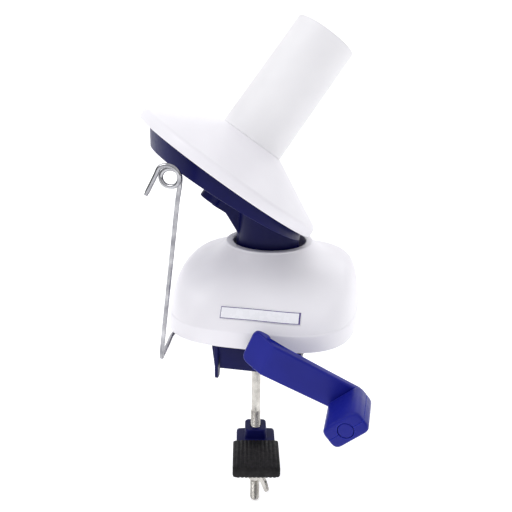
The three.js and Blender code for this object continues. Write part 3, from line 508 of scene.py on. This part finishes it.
def label(shell):
    """Blank printed film that follows the front of the housing."""
    tree = BVHTree.FromPolygons([v.co for v in shell.data.vertices],
                                [tuple(p.vertices) for p in shell.data.polygons])
    centre_x, low, high, half = 4.6, 15.9, 21.7, 22.9
    line, margin, thick_line = 0.35, 0.12, 0.95
    face_lift, back_lift = 0.6, 0.25
    middle = (low + high) / 2
    columns = [-half, -half + margin, -half + margin + line]
    columns += [-half + 2 + k * (2 * half - 4) / 24 for k in range(25)]
    columns += [half - margin - thick_line, half - margin, half]
    rows = [low, low + margin, low + margin + line, middle - 1.2, middle, middle + 1.2,
            high - margin - line, high - margin, high]
    top, under = [], []
    for z in rows:
        for x in columns:
            before = Vector((centre_x + x, -120, z)) * 0.001
            hit, normal = tree.ray_cast(before, Vector((0, 1, 0)))[:2]
            normal = -normal if normal.y > 0 else normal
            top.append(hit * 1000 + normal * face_lift)
            under.append(hit * 1000 + normal * back_lift)
    width, height = len(columns), len(rows)
    offset = width * height
    faces, inked = [], []
    for j in range(height - 1):
        for i in range(width - 1):
            a = j * width + i
            faces.append((a, a + 1, a + width + 1, a + width))
            inked.append((i in (1, width - 3) and 0 < j < height - 2)
                         or (j in (1, height - 3) and 0 < i < width - 2))
            faces.append((a + offset, a + width + offset, a + width + 1 + offset, a + 1 + offset))
            inked.append(False)
    border = ([i for i in range(width)] + [j * width + width - 1 for j in range(1, height)]
              + [(height - 1) * width + i for i in range(width - 2, -1, -1)]
              + [j * width for j in range(height - 2, 0, -1)])
    for k, a in enumerate(border):
        b = border[(k + 1) % len(border)]
        faces.append((a, a + offset, b + offset, b))
        inked.append(False)
    obj = solid(top + under, faces)
    place(obj, "label_plate", "base", "label_film", ["front_label"], sharp=40)
    obj.data.materials.append(label_ink)
    for polygon, ink in zip(obj.data.polygons, inked):
        polygon.material_index = int(ink)
    return obj


def bracket():
    """Open box under the base, with screw ears and two blades at the front."""
    wall = 2.5
    top = SEAT_STEP - GAP
    shell = cut(
        union(block(-BOX_HALF_X, BOX_HALF_X, BRACKET_FRONT, BRACKET_BACK, BRACKET_FLOOR, top),
              block(CRANK_X, SUMP_RIGHT, SUMP_FRONT, BRACKET_BACK, BRACKET_FLOOR, top)),
        block(-BOX_HALF_X + wall, BOX_HALF_X - wall, BRACKET_FRONT + wall, BRACKET_BACK - wall,
              BRACKET_FLOOR + wall, top + 5),
        block(CRANK_X - 2, SUMP_RIGHT - wall, SUMP_FRONT + wall, BRACKET_BACK - wall,
              BRACKET_FLOOR + wall, top + 5))
    side_turn = Matrix.Rotation(math.pi / 2, 4, "Z") @ Matrix.Rotation(math.pi / 2, 4, "X")
    front_turn = Matrix.Rotation(math.pi / 2, 4, "X")
    extras = []
    for (x, y), root in zip(BRACKET_SPOTS, EAR_ROOTS):
        ends = sorted((root, x + math.copysign(4.5, x)))
        extras.append(extrude(rounded_box(*ends, y - 4.9, y + 4.9, 2.4), -3.3, top))
    for side in (-1, 1):
        blade = fillet([(BRACKET_FRONT - 2.4, top), (BRACKET_FRONT - 2, LUG_BOTTOM + 1),
                        (BRACKET_FRONT - 1.2, LUG_BOTTOM), (BRACKET_FRONT + 2.2, LUG_BOTTOM),
                        (BRACKET_FRONT + 5, BRACKET_FLOOR + 1), (BRACKET_FRONT + 5, top)],
                       [0, 1, 1, 1.5, 2, 0])
        extras.append(moved(extrude(blade, -1, 1),
                            Matrix.Translation((side * BLADE_X, 0, 0)) @ side_turn))
        gusset = [(side * (BLADE_X - 2), top), (side * (BLADE_X - 0.5), LUG_BOTTOM + 1),
                  (side * (BLADE_X + 0.9), LUG_BOTTOM + 1), (side * BRACKET_HALF_X, top)]
        extras.append(moved(extrude(gusset, 0, 2.6),
                            Matrix.Translation((0, BRACKET_FRONT + 2.6, 0)) @ front_turn))
    extras.append(moved(bar(7.5, BRACKET_FLOOR, BRACKET_FLOOR + 4.5), ROD))
    obj = union(shell, *extras)
    holes = [moved(bar(1.8, -5, 1, 24), Matrix.Translation((x, y, 0))) for x, y in BRACKET_SPOTS]
    obj = tidy(cut(obj, moved(bar(ROD_R + GAP, -30, 0, 48), ROD), *holes))
    return place(obj, "clamp_mount", "base", "navy_plastic", ["clamp_bracket"], bevel=0.45)


def screw(name, node, spot, z0, z1, top):
    """Pan-head screw with a cross recess, seen from below."""
    head = lathe([(0, z0), (1.9, z0), (2.6, z0 + 0.25), (3, z0 + 0.8), (3, z1), (1.45, z1),
                  (1.45, top), (0, top)], 40)
    reach = 1.7
    obj = cut(head, block(-reach, reach, -0.35, 0.35, z0 - 1, z0 + 0.75),
              block(-0.35, 0.35, -reach, reach, z0 - 1, z0 + 0.75))
    place(obj, name, "base", "plated_steel", [node], Matrix.Translation((*spot, 0)), bevel=0.08)


def hex_nut(z0, z1, across, bore, at):
    """Hexagon nut with its corners turned off at both ends."""
    corner = across / math.sqrt(3)
    angles = [k * math.pi / 3 for k in range(6)]
    prism = extrude([(corner * math.cos(a), corner * math.sin(a)) for a in angles], z0, z1)
    turned = lathe([(0, z0), (across / 2, z0), (corner + 0.05, z0 + 0.65), (corner + 0.05, z1 - 0.65),
                    (across / 2, z1), (0, z1)], 72)
    return moved(cut(common(prism, turned), bar(bore, z0 - 1, z1 + 1, 40)), at)


def threaded_rod():
    """Rod with a real helical thread below its plain shank."""
    pitch, depth, rows, sides = 1.0, 0.55, 6, 40
    rings = [circle(ROD_R - 1.1, ROD_BOTTOM, sides)]
    steps = int((THREAD_TOP - ROD_BOTTOM - 1) / pitch * rows)
    for k in range(steps + 1):
        z = ROD_BOTTOM + 0.5 + k * pitch / rows
        ease = min(1.0, k / rows, (steps - k) / rows)
        ring = []
        for i in range(sides):
            share = (z / pitch - i / sides) % 1.0
            crest = 1 - abs(2 * share - 1)
            groove = min(1.0, max(0.0, 1.25 * crest - 0.12))
            r = ROD_R - depth * groove - 0.35 * (1 - ease) * (k < rows)
            angle = 2 * math.pi * i / sides
            ring.append((r * math.cos(angle), r * math.sin(angle), z))
        rings.append(ring)
    rings += [circle(ROD_R - 0.3, THREAD_TOP + 0.5, sides), circle(ROD_R - 0.3, -5.4, sides),
              circle(ROD_R - 0.8, -4.9, sides)]
    return place(loft(rings), "threaded_rod", "base", "plated_steel", ["clamp_rod"], ROD, sharp=60)


# ---------------------------------------------------------------------- turret

def above_underside(lift=0.0):
    """Everything above the plate's sloping underside."""
    tilt = Matrix.Translation((0, 0, UNDER_Z + lift)) @ Matrix.Rotation(UNDER_TILT, 4, "Y")
    return moved(block(-140, 140, -140, 140, 0, 240), tilt)


def leaning(obj):
    return moved(obj, Matrix.Translation((0, 0, APEX_Z)) @ Matrix.Rotation(LEAN, 4, "Y"))


def plate_wall(inset):
    wide, deep = (PLATE_R - inset) * math.cos(LEAN), PLATE_R - inset
    angles = [2 * math.pi * k / 180 for k in range(180)]
    return extrude([(PLATE_CENTRE + wide * math.cos(a), deep * math.sin(a)) for a in angles], 20, 150)


def turret():
    """Dished plate on a neck, with the rib and the axle's boss below it."""
    plate = common(plate_wall(0), leaning(bar(150, -120, PLATE_TOP_T)), above_underside())
    dish = common(plate_wall(2.6), leaning(bar(150, PLATE_FLOOR_T, PLATE_TOP_T + 5)), above_underside(2.9))
    flared = common(bar(NECK_FLARE_R, NECK_BOTTOM, 90, 120), plate_wall(0.02))
    neck = cut(union(bar(NECK_R, NECK_BOTTOM, 90, 120), flared), above_underside(0.7))
    rib = fillet([(-36.3, 72.4), (-28.2, 66.9), (-25.3, 62.1), (-21.3, 55.3), (-18.3, 50),
                  (-12, 50), (-12, 70), (-34, 100)], [0, 3, 6, 8, 5, 0, 0, 0])
    web = cut(moved(extrude(rib, -4, 4), Matrix.Rotation(math.pi / 2, 4, "X")), above_underside(0.7))
    boss = common(leaning(bar(6.4, BOSS_END_T, PLATE_FLOOR_T - 0.5, 72)),
                  cut(bar(90, 20, 120), above_underside(0.7)))
    body = union(cut(plate, dish), neck, web, boss, bar(TUBE_R, 26.6, NECK_BOTTOM + 1, 72))
    relief = cut(bar(40, 10, COLLAR_TOP + 1.2, 96), bar(NECK_FLARE_R + 0.1, 5, 60, 96))
    obj = cut(body,
              leaning(bar(25.6, PLATE_FLOOR_T + 0.9, PLATE_TOP_T + 1, 96)),
              leaning(bar(6.6, PLATE_FLOOR_T, PLATE_TOP_T)),
              common(bar(NECK_R - 2.5, NECK_BOTTOM + 4, 110, 96), plate_wall(2.4)),
              bar(6.3, 20, 60, 48),
              leaning(bar(AXLE_R + GAP, BOSS_END_T + 2, 0, 48)),
              relief)
    return place(tidy(obj), "turret_casting", "turret", "navy_plastic", ["turret_frame"], TURRET,
                 bevel=0.5, sharp=32)


# ----------------------------------------------------------------------- spool

def cup():
    slope = (CONE_TOP_T - RIM_T - 2) / (RIM_R - SPINDLE_R0)

    def inner(r):
        return RIM_T + 0.2 + slope * (RIM_R - 2 - r)

    hub = SPINDLE_R0 - SPINDLE_WALL
    hub_end = -44.3
    corners = [(AXLE_R + GAP, hub_end), (9, hub_end), (9, inner(11)), (11, inner(11)),
               (RIM_R - 2, RIM_T + 0.2), (RIM_R - 1.9, SKIRT_T), (RIM_R + 0.35, SKIRT_T),
               (RIM_R, RIM_T + 2.4),
               (SPINDLE_R0 + 0.3, CONE_TOP_T), (hub - 0.4, CONE_TOP_T), (hub - 0.6, CONE_TOP_T + 7),
               (hub - 2.4, CONE_TOP_T + 7), (hub - 2.4, CONE_TOP_T), (AXLE_R + GAP, CONE_TOP_T)]
    radii = [0.3, 0.5, 0.5, 0.8, 0.6, 0.7, 0.8, 3.4, 0.5, 0.1, 0.3, 0.3, 0.1, 0.3]
    obj = lathe(fillet(corners, radii), 192)
    return place(obj, "cup", "spool", "white_plastic", ["spool_cup"], LEANING)


def spindle():
    """Tube with a flared slot in its lip that holds the yarn's tail."""
    bottom = CONE_TOP_T + 0.03
    tube = lathe(fillet(
        [(SPINDLE_R0 - SPINDLE_WALL, bottom), (SPINDLE_R0, bottom), (SPINDLE_R1, SPINDLE_TOP_T),
         (SPINDLE_R1 - SPINDLE_WALL, SPINDLE_TOP_T)], [0.2, 0.4, 0.8, 0.7]), 144)
    slot = block(-1.1, 1.1, 5, 30, SPINDLE_TOP_T - 12, SPINDLE_TOP_T + 2)
    mouth = moved(extrude([(-1.1, -1.6), (1.1, -1.6), (3, 2), (-3, 2)], -30, -5),
                  Matrix.Translation((0, 0, SPINDLE_TOP_T)) @ Matrix.Rotation(math.pi / 2, 4, "X"))
    return place(cut(tube, slot, mouth), "spindle", "spool", "spindle_plastic", ["spindle_tube"], LEANING)


# ----------------------------------------------------------------------- crank

def arm():
    """Tapered bar with a faceted hub, in the crank's own frame."""
    reach, half, tip = CRANK_LENGTH, HUB_WIDTH / 2, TIP_WIDTH / 2
    end, turn = -HUB_END, [0, HUB_CORNER, 0]
    outline = [(end, half - 4), *fillet([(end, half - 4), (end, -half), (6, -half + 0.3)], turn)[1:-1]]
    sweep = [-math.pi / 2 + math.pi * k / 28 for k in range(29)]
    outline += [(reach + tip * math.cos(a), tip * math.sin(a)) for a in sweep]
    outline += fillet([(6, half - 0.3), (end, half), (end, half - 8)], turn)[1:-1]
    plate = extrude(outline, ARM_FACE - ARM_THICK, ARM_FACE)
    hub = extrude(rounded_box(end, 5, 0.1 - half, half - 0.1, HUB_CORNER),
                  BARREL_FRONT + 0.5, ARM_FACE - 1)
    facet = moved(block(-30, 0, -20, 20, 0, 12), Matrix.Translation((HUB_FOLD, 0, ARM_FACE))
                  @ Matrix.Rotation(-HUB_FACET, 4, "Y"))
    obj = cut(union(plate, hub), facet, bar(SHAFT_R + 0.12, 0, BORE_END, 48),
              moved(bar(2.3, 60, 90, 40), Matrix.Translation((reach, 0, 0))))
    return place(tidy(obj), "handle_arm", "crank", "cobalt_plastic", ["crank_arm"], CRANK,
                 bevel=1.2, sharp=25)


def pin():
    face = ARM_FACE + GAP
    back = ARM_FACE - ARM_THICK + 0.2
    end = face + KNOB_LENGTH
    stem, flange = KNOB_PIN_R - 0.6, 5.6
    obj = lathe(fillet(
        [(0, back), (2.1, back), (2.1, face), (flange, face), (flange, face + 1.2), (stem, face + 1.2),
         (stem, end - 4), (KNOB_PIN_R, end - 4), (KNOB_PIN_R, end + 1), (0, end + 1)],
        [0, 0.1, 0, 0.3, 0.3, 0, 0, 0.2, 0.6, 0]), 72)
    at = CRANK @ Matrix.Translation((CRANK_LENGTH, 0, 0))
    return place(obj, "grip_pin", "crank", "cobalt_plastic", ["knob_pin"], at)


def grip_half(name, node, side):
    """Half of the knob; the parting plane holds the pin's axis."""
    z0 = ARM_FACE + GAP + 1.5
    z1 = z0 + KNOB_LENGTH - 0.5
    long, short = KNOB_LONG / 2, KNOB_SHORT / 2
    rings = []
    for z, grow in [(z0, -1.1), (z0 + 0.25, -0.6), (z0 + 0.7, -0.25), (z0 + 1.4, -0.1),
                    (z1 - 1.6, -0.25), (z1 - 0.8, -0.5), (z1 - 0.3, -0.85), (z1, -1.5)]:
        outline = rounded_box(-long - grow, long + grow, -short - grow, short + grow, 4.4 + grow, 10)
        rings.append([(x, y, z) for x, y in outline])
    keep = block(-20, 20, 0.1, 20, 60, 120) if side > 0 else block(-20, 20, -20, -0.1, 60, 120)
    obj = cut(common(loft(rings), keep), bar(KNOB_PIN_R - 0.3, 60, 120, 56),
              bar(KNOB_PIN_R + GAP, ARM_FACE + KNOB_LENGTH - 4, 120, 56))
    at = CRANK @ Matrix.Translation((CRANK_LENGTH, 0, 0)) @ Matrix.Rotation(KNOB_TURN, 4, "Z")
    return place(obj, name, "knob", "cobalt_plastic", [node], at, bevel=0.2, sharp=50)


# ----------------------------------------------------------------------- clamp

def jaw():
    bottom = JAW_PLATE_TOP - JAW_PLATE_THICK
    half = JAW_BOSS / 2
    plate = extrude(rounded_box(-JAW_HALF_X, JAW_HALF_X, -BOOT_FRONT + BOOT_WALL + GAP, half, 2.4),
                    bottom, JAW_PLATE_TOP)
    hub = extrude(rounded_box(-half, half, -half, half, 3), JAW_HUB_BOTTOM, JAW_BOSS_TOP)
    obj = cut(union(plate, hub), bar(ROD_R + GAP, -120, 0, 48))
    return place(tidy(obj), "jaw_arm", "jaw", "navy_plastic", ["clamp_jaw"], JAW, bevel=0.5)


def boot():
    """Rubber boot with ribs along its length."""
    half = JAW_HALF_X + GAP + BOOT_WALL
    top = JAW_PLATE_TOP + GAP + BOOT_WALL
    bottom = JAW_PLATE_TOP - JAW_PLATE_THICK - GAP - BOOT_WALL
    middle, tall = (top + bottom) / 2, (top - bottom) / 2
    rib_pitch, rib_height, per_rib = 2.4, 0.42, 8
    ribs = 10
    flat = ribs * rib_pitch / 2
    count = ribs * per_rib
    edge_radius = 1.7
    upper = []
    for k in range(count + 1):
        x = -flat + 2 * flat * k / count
        dip = (0.5 + 0.5 * math.cos(2 * math.pi * (x + flat) / rib_pitch)) ** 2
        upper.append((x, tall - rib_height * dip))
    right = []
    for a in [math.pi * k / 12 for k in range(1, 7)]:
        drop = edge_radius * (math.cos(a) - 1) - rib_height * (1 - math.sin(a))
        right.append((flat + (half - flat) * math.sin(a), tall + drop))
    section = upper + right + [(x, -z) for x, z in reversed(right)]
    section += [(x, -z) for x, z in reversed(upper)]
    section += [(-x, -z) for x, z in right] + [(-x, z) for x, z in reversed(right)]
    rings = []
    for y, inset in [(-BOOT_BACK, 0.7), (-BOOT_BACK - 0.25, 0.3), (-BOOT_BACK - 0.8, 0),
                     (-BOOT_FRONT + 2.4, 0), (-BOOT_FRONT + 1.4, 0.16), (-BOOT_FRONT + 0.7, 0.5),
                     (-BOOT_FRONT + 0.2, 1.05), (-BOOT_FRONT, 1.8)]:
        wide, high = (half - inset) / half, (tall - inset) / tall
        rings.append([(x * wide, y, middle + z * high) for x, z in section])
    return place(loft(rings), "jaw_cover", "jaw", "boot_rubber", ["jaw_boot"], JAW, sharp=60)


def wing():
    foot = NUT_TOP - 8
    body = lathe(fillet([(0, foot), (4.6, foot), (6, NUT_TOP), (0, NUT_TOP)], [0, 0.8, 0.6, 0]), 64)
    lobes = []
    for side in (-1, 1):
        outline = [(3.2, -1.2), (5.4, -1.2), (10, -5.6), (12.4, -11), (11.8, -12.8), (10, -12.8),
                   (6.8, -8.6), (3.6, -7.4)]
        outline = fillet([(side * x, NUT_TOP + z) for x, z in outline], [0, 2, 4, 1.4, 1.2, 1.4, 3, 0])
        lobes.append(moved(extrude(outline, -1.1, 1.1), Matrix.Rotation(math.pi / 2, 4, "X")))
    obj = tidy(cut(union(body, *lobes), bar(ROD_R + GAP, -120, -60, 48)))
    return place(obj, "wing", "wing", "plated_steel", ["wing_nut"], WING, bevel=0.3)


def ring_washer(z0, z1, outer, inner, sides=64):
    return lathe(fillet([(inner, z0), (outer, z0), (outer, z1), (inner, z1)], 0.18, 3), sides)


# ------------------------------------------------------------------ wire guide

def coil_radius(angle):
    place_along = angle / (math.pi / 2)
    k = int(place_along)
    return COIL_RADII[k] + (COIL_RADII[k + 1] - COIL_RADII[k]) * (place_along - k)


def guide_route():
    pin_x, pin_y = GUIDE_PIVOT.x, GUIDE_PIVOT.y
    route = [(pin_x, pin_y, 9), (pin_x, pin_y, 5), (pin_x, pin_y, 1), (pin_x - 0.6, pin_y - 0.9, -1.4),
             (pin_x - 2.6, pin_y - 3.4, -2.4), (-50.6, -39, -3.2), (-50.2, -52, -4.8),
             (-49.6, GUIDE_Y + 3, -6.4), (-49.2, GUIDE_Y + 0.7, -5.9), (-48.9, GUIDE_Y, -3.4)]
    route = [Vector(p) for p in route]
    foot = Vector((-48.6, GUIDE_Y, 0))
    head = EYE_CENTRE + Vector((4.3, 0, -5))
    route += [foot.lerp(head, share) for share in (0.2, 0.45, 0.7, 0.9)]
    steps = 30
    for k in range(steps + 1):
        share = k / steps
        angle = COIL_SWEEP * share
        r = coil_radius(angle)
        route.append(EYE_CENTRE + Vector((r * math.cos(angle), -3.6 * share, r * math.sin(angle))))
    end = route[-1]
    heading = Vector((-0.47, 0, -0.88))
    return route + [end + heading * run for run in (5, 17)]


def smooth_path(points, per_span):
    """Centripetal Catmull-Rom curve through the points."""
    ends = [points[0] * 2 - points[1], *points, points[-1] * 2 - points[-2]]
    out = []
    for k in range(len(points) - 1):
        p = ends[k:k + 4]
        knots = [0.0]
        for a, b in zip(p, p[1:]):
            knots.append(knots[-1] + max((b - a).length, 1e-6) ** 0.5)
        for i in range(per_span):
            t = knots[1] + (knots[2] - knots[1]) * i / per_span
            a = [p[j].lerp(p[j + 1], (t - knots[j]) / (knots[j + 1] - knots[j])) for j in range(3)]
            b = [a[j].lerp(a[j + 1], (t - knots[j]) / (knots[j + 2] - knots[j])) for j in range(2)]
            out.append(b[0].lerp(b[1], (t - knots[1]) / (knots[2] - knots[1])))
    return out + [points[-1]]


def guide():
    path = smooth_path(guide_route(), 5)
    sides = 20
    rings = []
    side = Vector((1, 0, 0))
    for k, point in enumerate(path):
        ahead = (path[min(k + 1, len(path) - 1)] - path[max(k - 1, 0)]).normalized()
        side = (side - ahead * side.dot(ahead)).normalized()
        other = ahead.cross(side)
        scale = WIRE_R if 0 < k < len(path) - 1 else WIRE_R * 0.8
        rings.append([point + (side * math.cos(a) + other * math.sin(a)) * scale
                      for a in [2 * math.pi * i / sides for i in range(sides)]])
    return place(loft(rings), "yarn_guide", "guide", "guide_chrome", ["wire_guide"], sharp=50)


# ------------------------------------------------------------- all the pieces

label(housing())
bracket()
turret()
cup()
spindle()
arm()
pin()
grip_half("grip_upper", "knob_half_upper", 1)
grip_half("grip_lower", "knob_half_lower", -1)
threaded_rod()
jaw()
boot()
wing()
guide()

for index, spot in enumerate(SCREW_SPOTS, 1):
    screw(f"cover_screw_{index}", f"housing_screw_{index}", spot, 0.4, 1.5, 9.6)
for index, spot in enumerate(BRACKET_SPOTS, 1):
    screw(f"mount_screw_{index}", f"bracket_screw_{index}", spot, -5.4, -3.6, 6.4)

place(hex_nut(BRACKET_FLOOR - 3.5, BRACKET_FLOOR - GAP, 10, ROD_R, ROD), "nut_under", "base", "plated_steel",
      ["rod_nut_lower"], bevel=0.12)
place(hex_nut(BRACKET_FLOOR + 4.8, BRACKET_FLOOR + 9.8, 10, ROD_R, ROD), "nut_inside", "base", "plated_steel",
      ["rod_nut_upper"], bevel=0.12)
place(hex_nut(-15.8, -12.2, 7, AXLE_R + 0.12, UPRIGHT), "axle_lock", "turret", "plated_steel", ["axle_nut"],
      LEANING, bevel=0.1)
place(ring_washer(-17.4, -16.2, 6.4, AXLE_R + GAP), "axle_disc", "turret", "plated_steel",
      ["axle_washer"], LEANING)
place(ring_washer(NUT_TOP + GAP, WASHER_TOP, 7, ROD_R + GAP), "clamp_disc", "jaw_carrier", "plated_steel",
      ["clamp_washer"], JAW)

# The pieces that stay as they were loaded still get their material.
slot_of = {entry["node"]: entry["material_slot"] for entry in frame["record"]["subparts"]}
for node, obj in frame["nodes"].items():
    obj.data.materials.clear()
    obj.data.materials.append(finishes[slot_of[node]])

# -------------------------------------------------------- floor, light, camera

scene = bpy.context.scene


def backdrop():
    """Pale floor that curves up behind the object."""
    floor_z, wide, back, radius = ROD_BOTTOM - 0.4, 4000, 1500, 900
    profile = [(-2500, floor_z), (back - radius, floor_z)]
    for k in range(1, 13):
        a = math.pi / 2 * k / 12
        profile.append((back - radius + radius * math.sin(a), floor_z + radius * (1 - math.cos(a))))
    profile.append((back, 3500))
    points, faces = [], []
    for y, z in profile:
        points += [(-wide, y, z), (wide, y, z)]
    for k in range(len(profile) - 1):
        faces.append((2 * k, 2 * k + 1, 2 * k + 3, 2 * k + 2))
    obj = solid(points, faces)
    obj.name = "floor"
    obj.data.transform(Matrix.Scale(0.001, 4))
    obj.data.shade_smooth()
    s = Surface("floor")
    s.feed("Base Color", s.mix(s.spread(s.noise(3, 2), 0, 1), (0.90, 0.90, 0.905), (0.92, 0.92, 0.925)))
    s.shader.inputs["Roughness"].default_value = 0.9
    s.shader.inputs["Emission Color"].default_value = (1, 1, 1, 1)
    s.shader.inputs["Emission Strength"].default_value = 0.4
    obj.data.materials.append(s.material)


def area_light(name, place_at, target, size, energy):
    data = bpy.data.lights.new(name, "AREA")
    data.shape = "DISK"
    data.size = size
    data.energy = energy
    obj = bpy.data.objects.new(name, data)
    scene.collection.objects.link(obj)
    obj.location = place_at
    obj.rotation_euler = (Vector(target) - Vector(place_at)).to_track_quat("-Z", "Y").to_euler()


def set_camera():
    azimuth, elevation, roll = (math.radians(a) for a in (11.3, 18.4, 0.7))
    target, distance = Vector((-0.0085, 0, 0.0364)), 0.438
    back = Vector((math.sin(azimuth) * math.cos(elevation), -math.cos(azimuth) * math.cos(elevation),
                   math.sin(elevation)))
    right = Vector((math.cos(azimuth), math.sin(azimuth), 0))
    up = back.cross(right)
    across = right * math.cos(roll) + up * math.sin(roll)
    upward = up * math.cos(roll) - right * math.sin(roll)
    data = bpy.data.cameras.new("camera")
    data.sensor_width = 36
    data.lens = 49.22
    data.clip_start = 0.01
    data.dof.use_dof = False
    obj = bpy.data.objects.new("camera", data)
    scene.collection.objects.link(obj)
    turn = Matrix((across, upward, back)).transposed().to_4x4()
    obj.matrix_world = Matrix.Translation(target + back * distance) @ turn
    scene.camera = obj


def studio_walls(tree):
    """Bright room with a dark screen low on either side and a grey one low in front."""
    def math_node(operation, value, *constants, clamp=False):
        node = tree.nodes.new("ShaderNodeMath")
        node.operation = operation
        node.use_clamp = clamp
        tree.links.new(value, node.inputs[0])
        for k, constant in enumerate(constants, 1):
            if isinstance(constant, (int, float)):
                node.inputs[k].default_value = constant
            else:
                tree.links.new(constant, node.inputs[k])
        return node.outputs[0]

    room, side_dark, front_dark = 0.9, 0.84, 0.36
    coords = tree.nodes.new("ShaderNodeTexCoord")
    split = tree.nodes.new("ShaderNodeSeparateXYZ")
    tree.links.new(coords.outputs["Generated"], split.inputs[0])
    sideways = math_node("ABSOLUTE", split.outputs["X"])
    beside = math_node("MULTIPLY_ADD", sideways, 4.0, -2.5, clamp=True)
    below = math_node("MULTIPLY_ADD", split.outputs["Z"], -3.0, 1.7, clamp=True)
    screen = math_node("MULTIPLY", beside, below)
    before = math_node("MULTIPLY_ADD", split.outputs["Y"], -1.8, -0.55, clamp=True)
    shade = math_node("MULTIPLY", before, below)
    walls = math_node("MULTIPLY_ADD", screen, -side_dark, room)
    light = math_node("MULTIPLY_ADD", shade, -front_dark, walls)
    # Seen directly, beyond the floor's edges, the room is plain and pale.
    seen = tree.nodes.new("ShaderNodeLightPath").outputs["Is Camera Ray"]
    light = math_node("MAXIMUM", light, seen)
    background = tree.nodes["Background"]
    background.inputs["Color"].default_value = (0.97, 0.975, 1, 1)
    tree.links.new(light, background.inputs["Strength"])


backdrop()
world = bpy.data.worlds.new("studio")
world.use_nodes = True
studio_walls(world.node_tree)
scene.world = world
area_light("key", (-0.6, -0.45, 1.0), (0, 0, 0.05), 0.6, 3.6)
area_light("fill", (0.9, -0.6, 0.45), (0, 0, 0.02), 0.8, 0.4)
area_light("rim", (0.3, 0.8, 0.7), (0, 0, 0.08), 0.6, 0.8)
scene.view_settings.view_transform = "Standard"
set_camera()
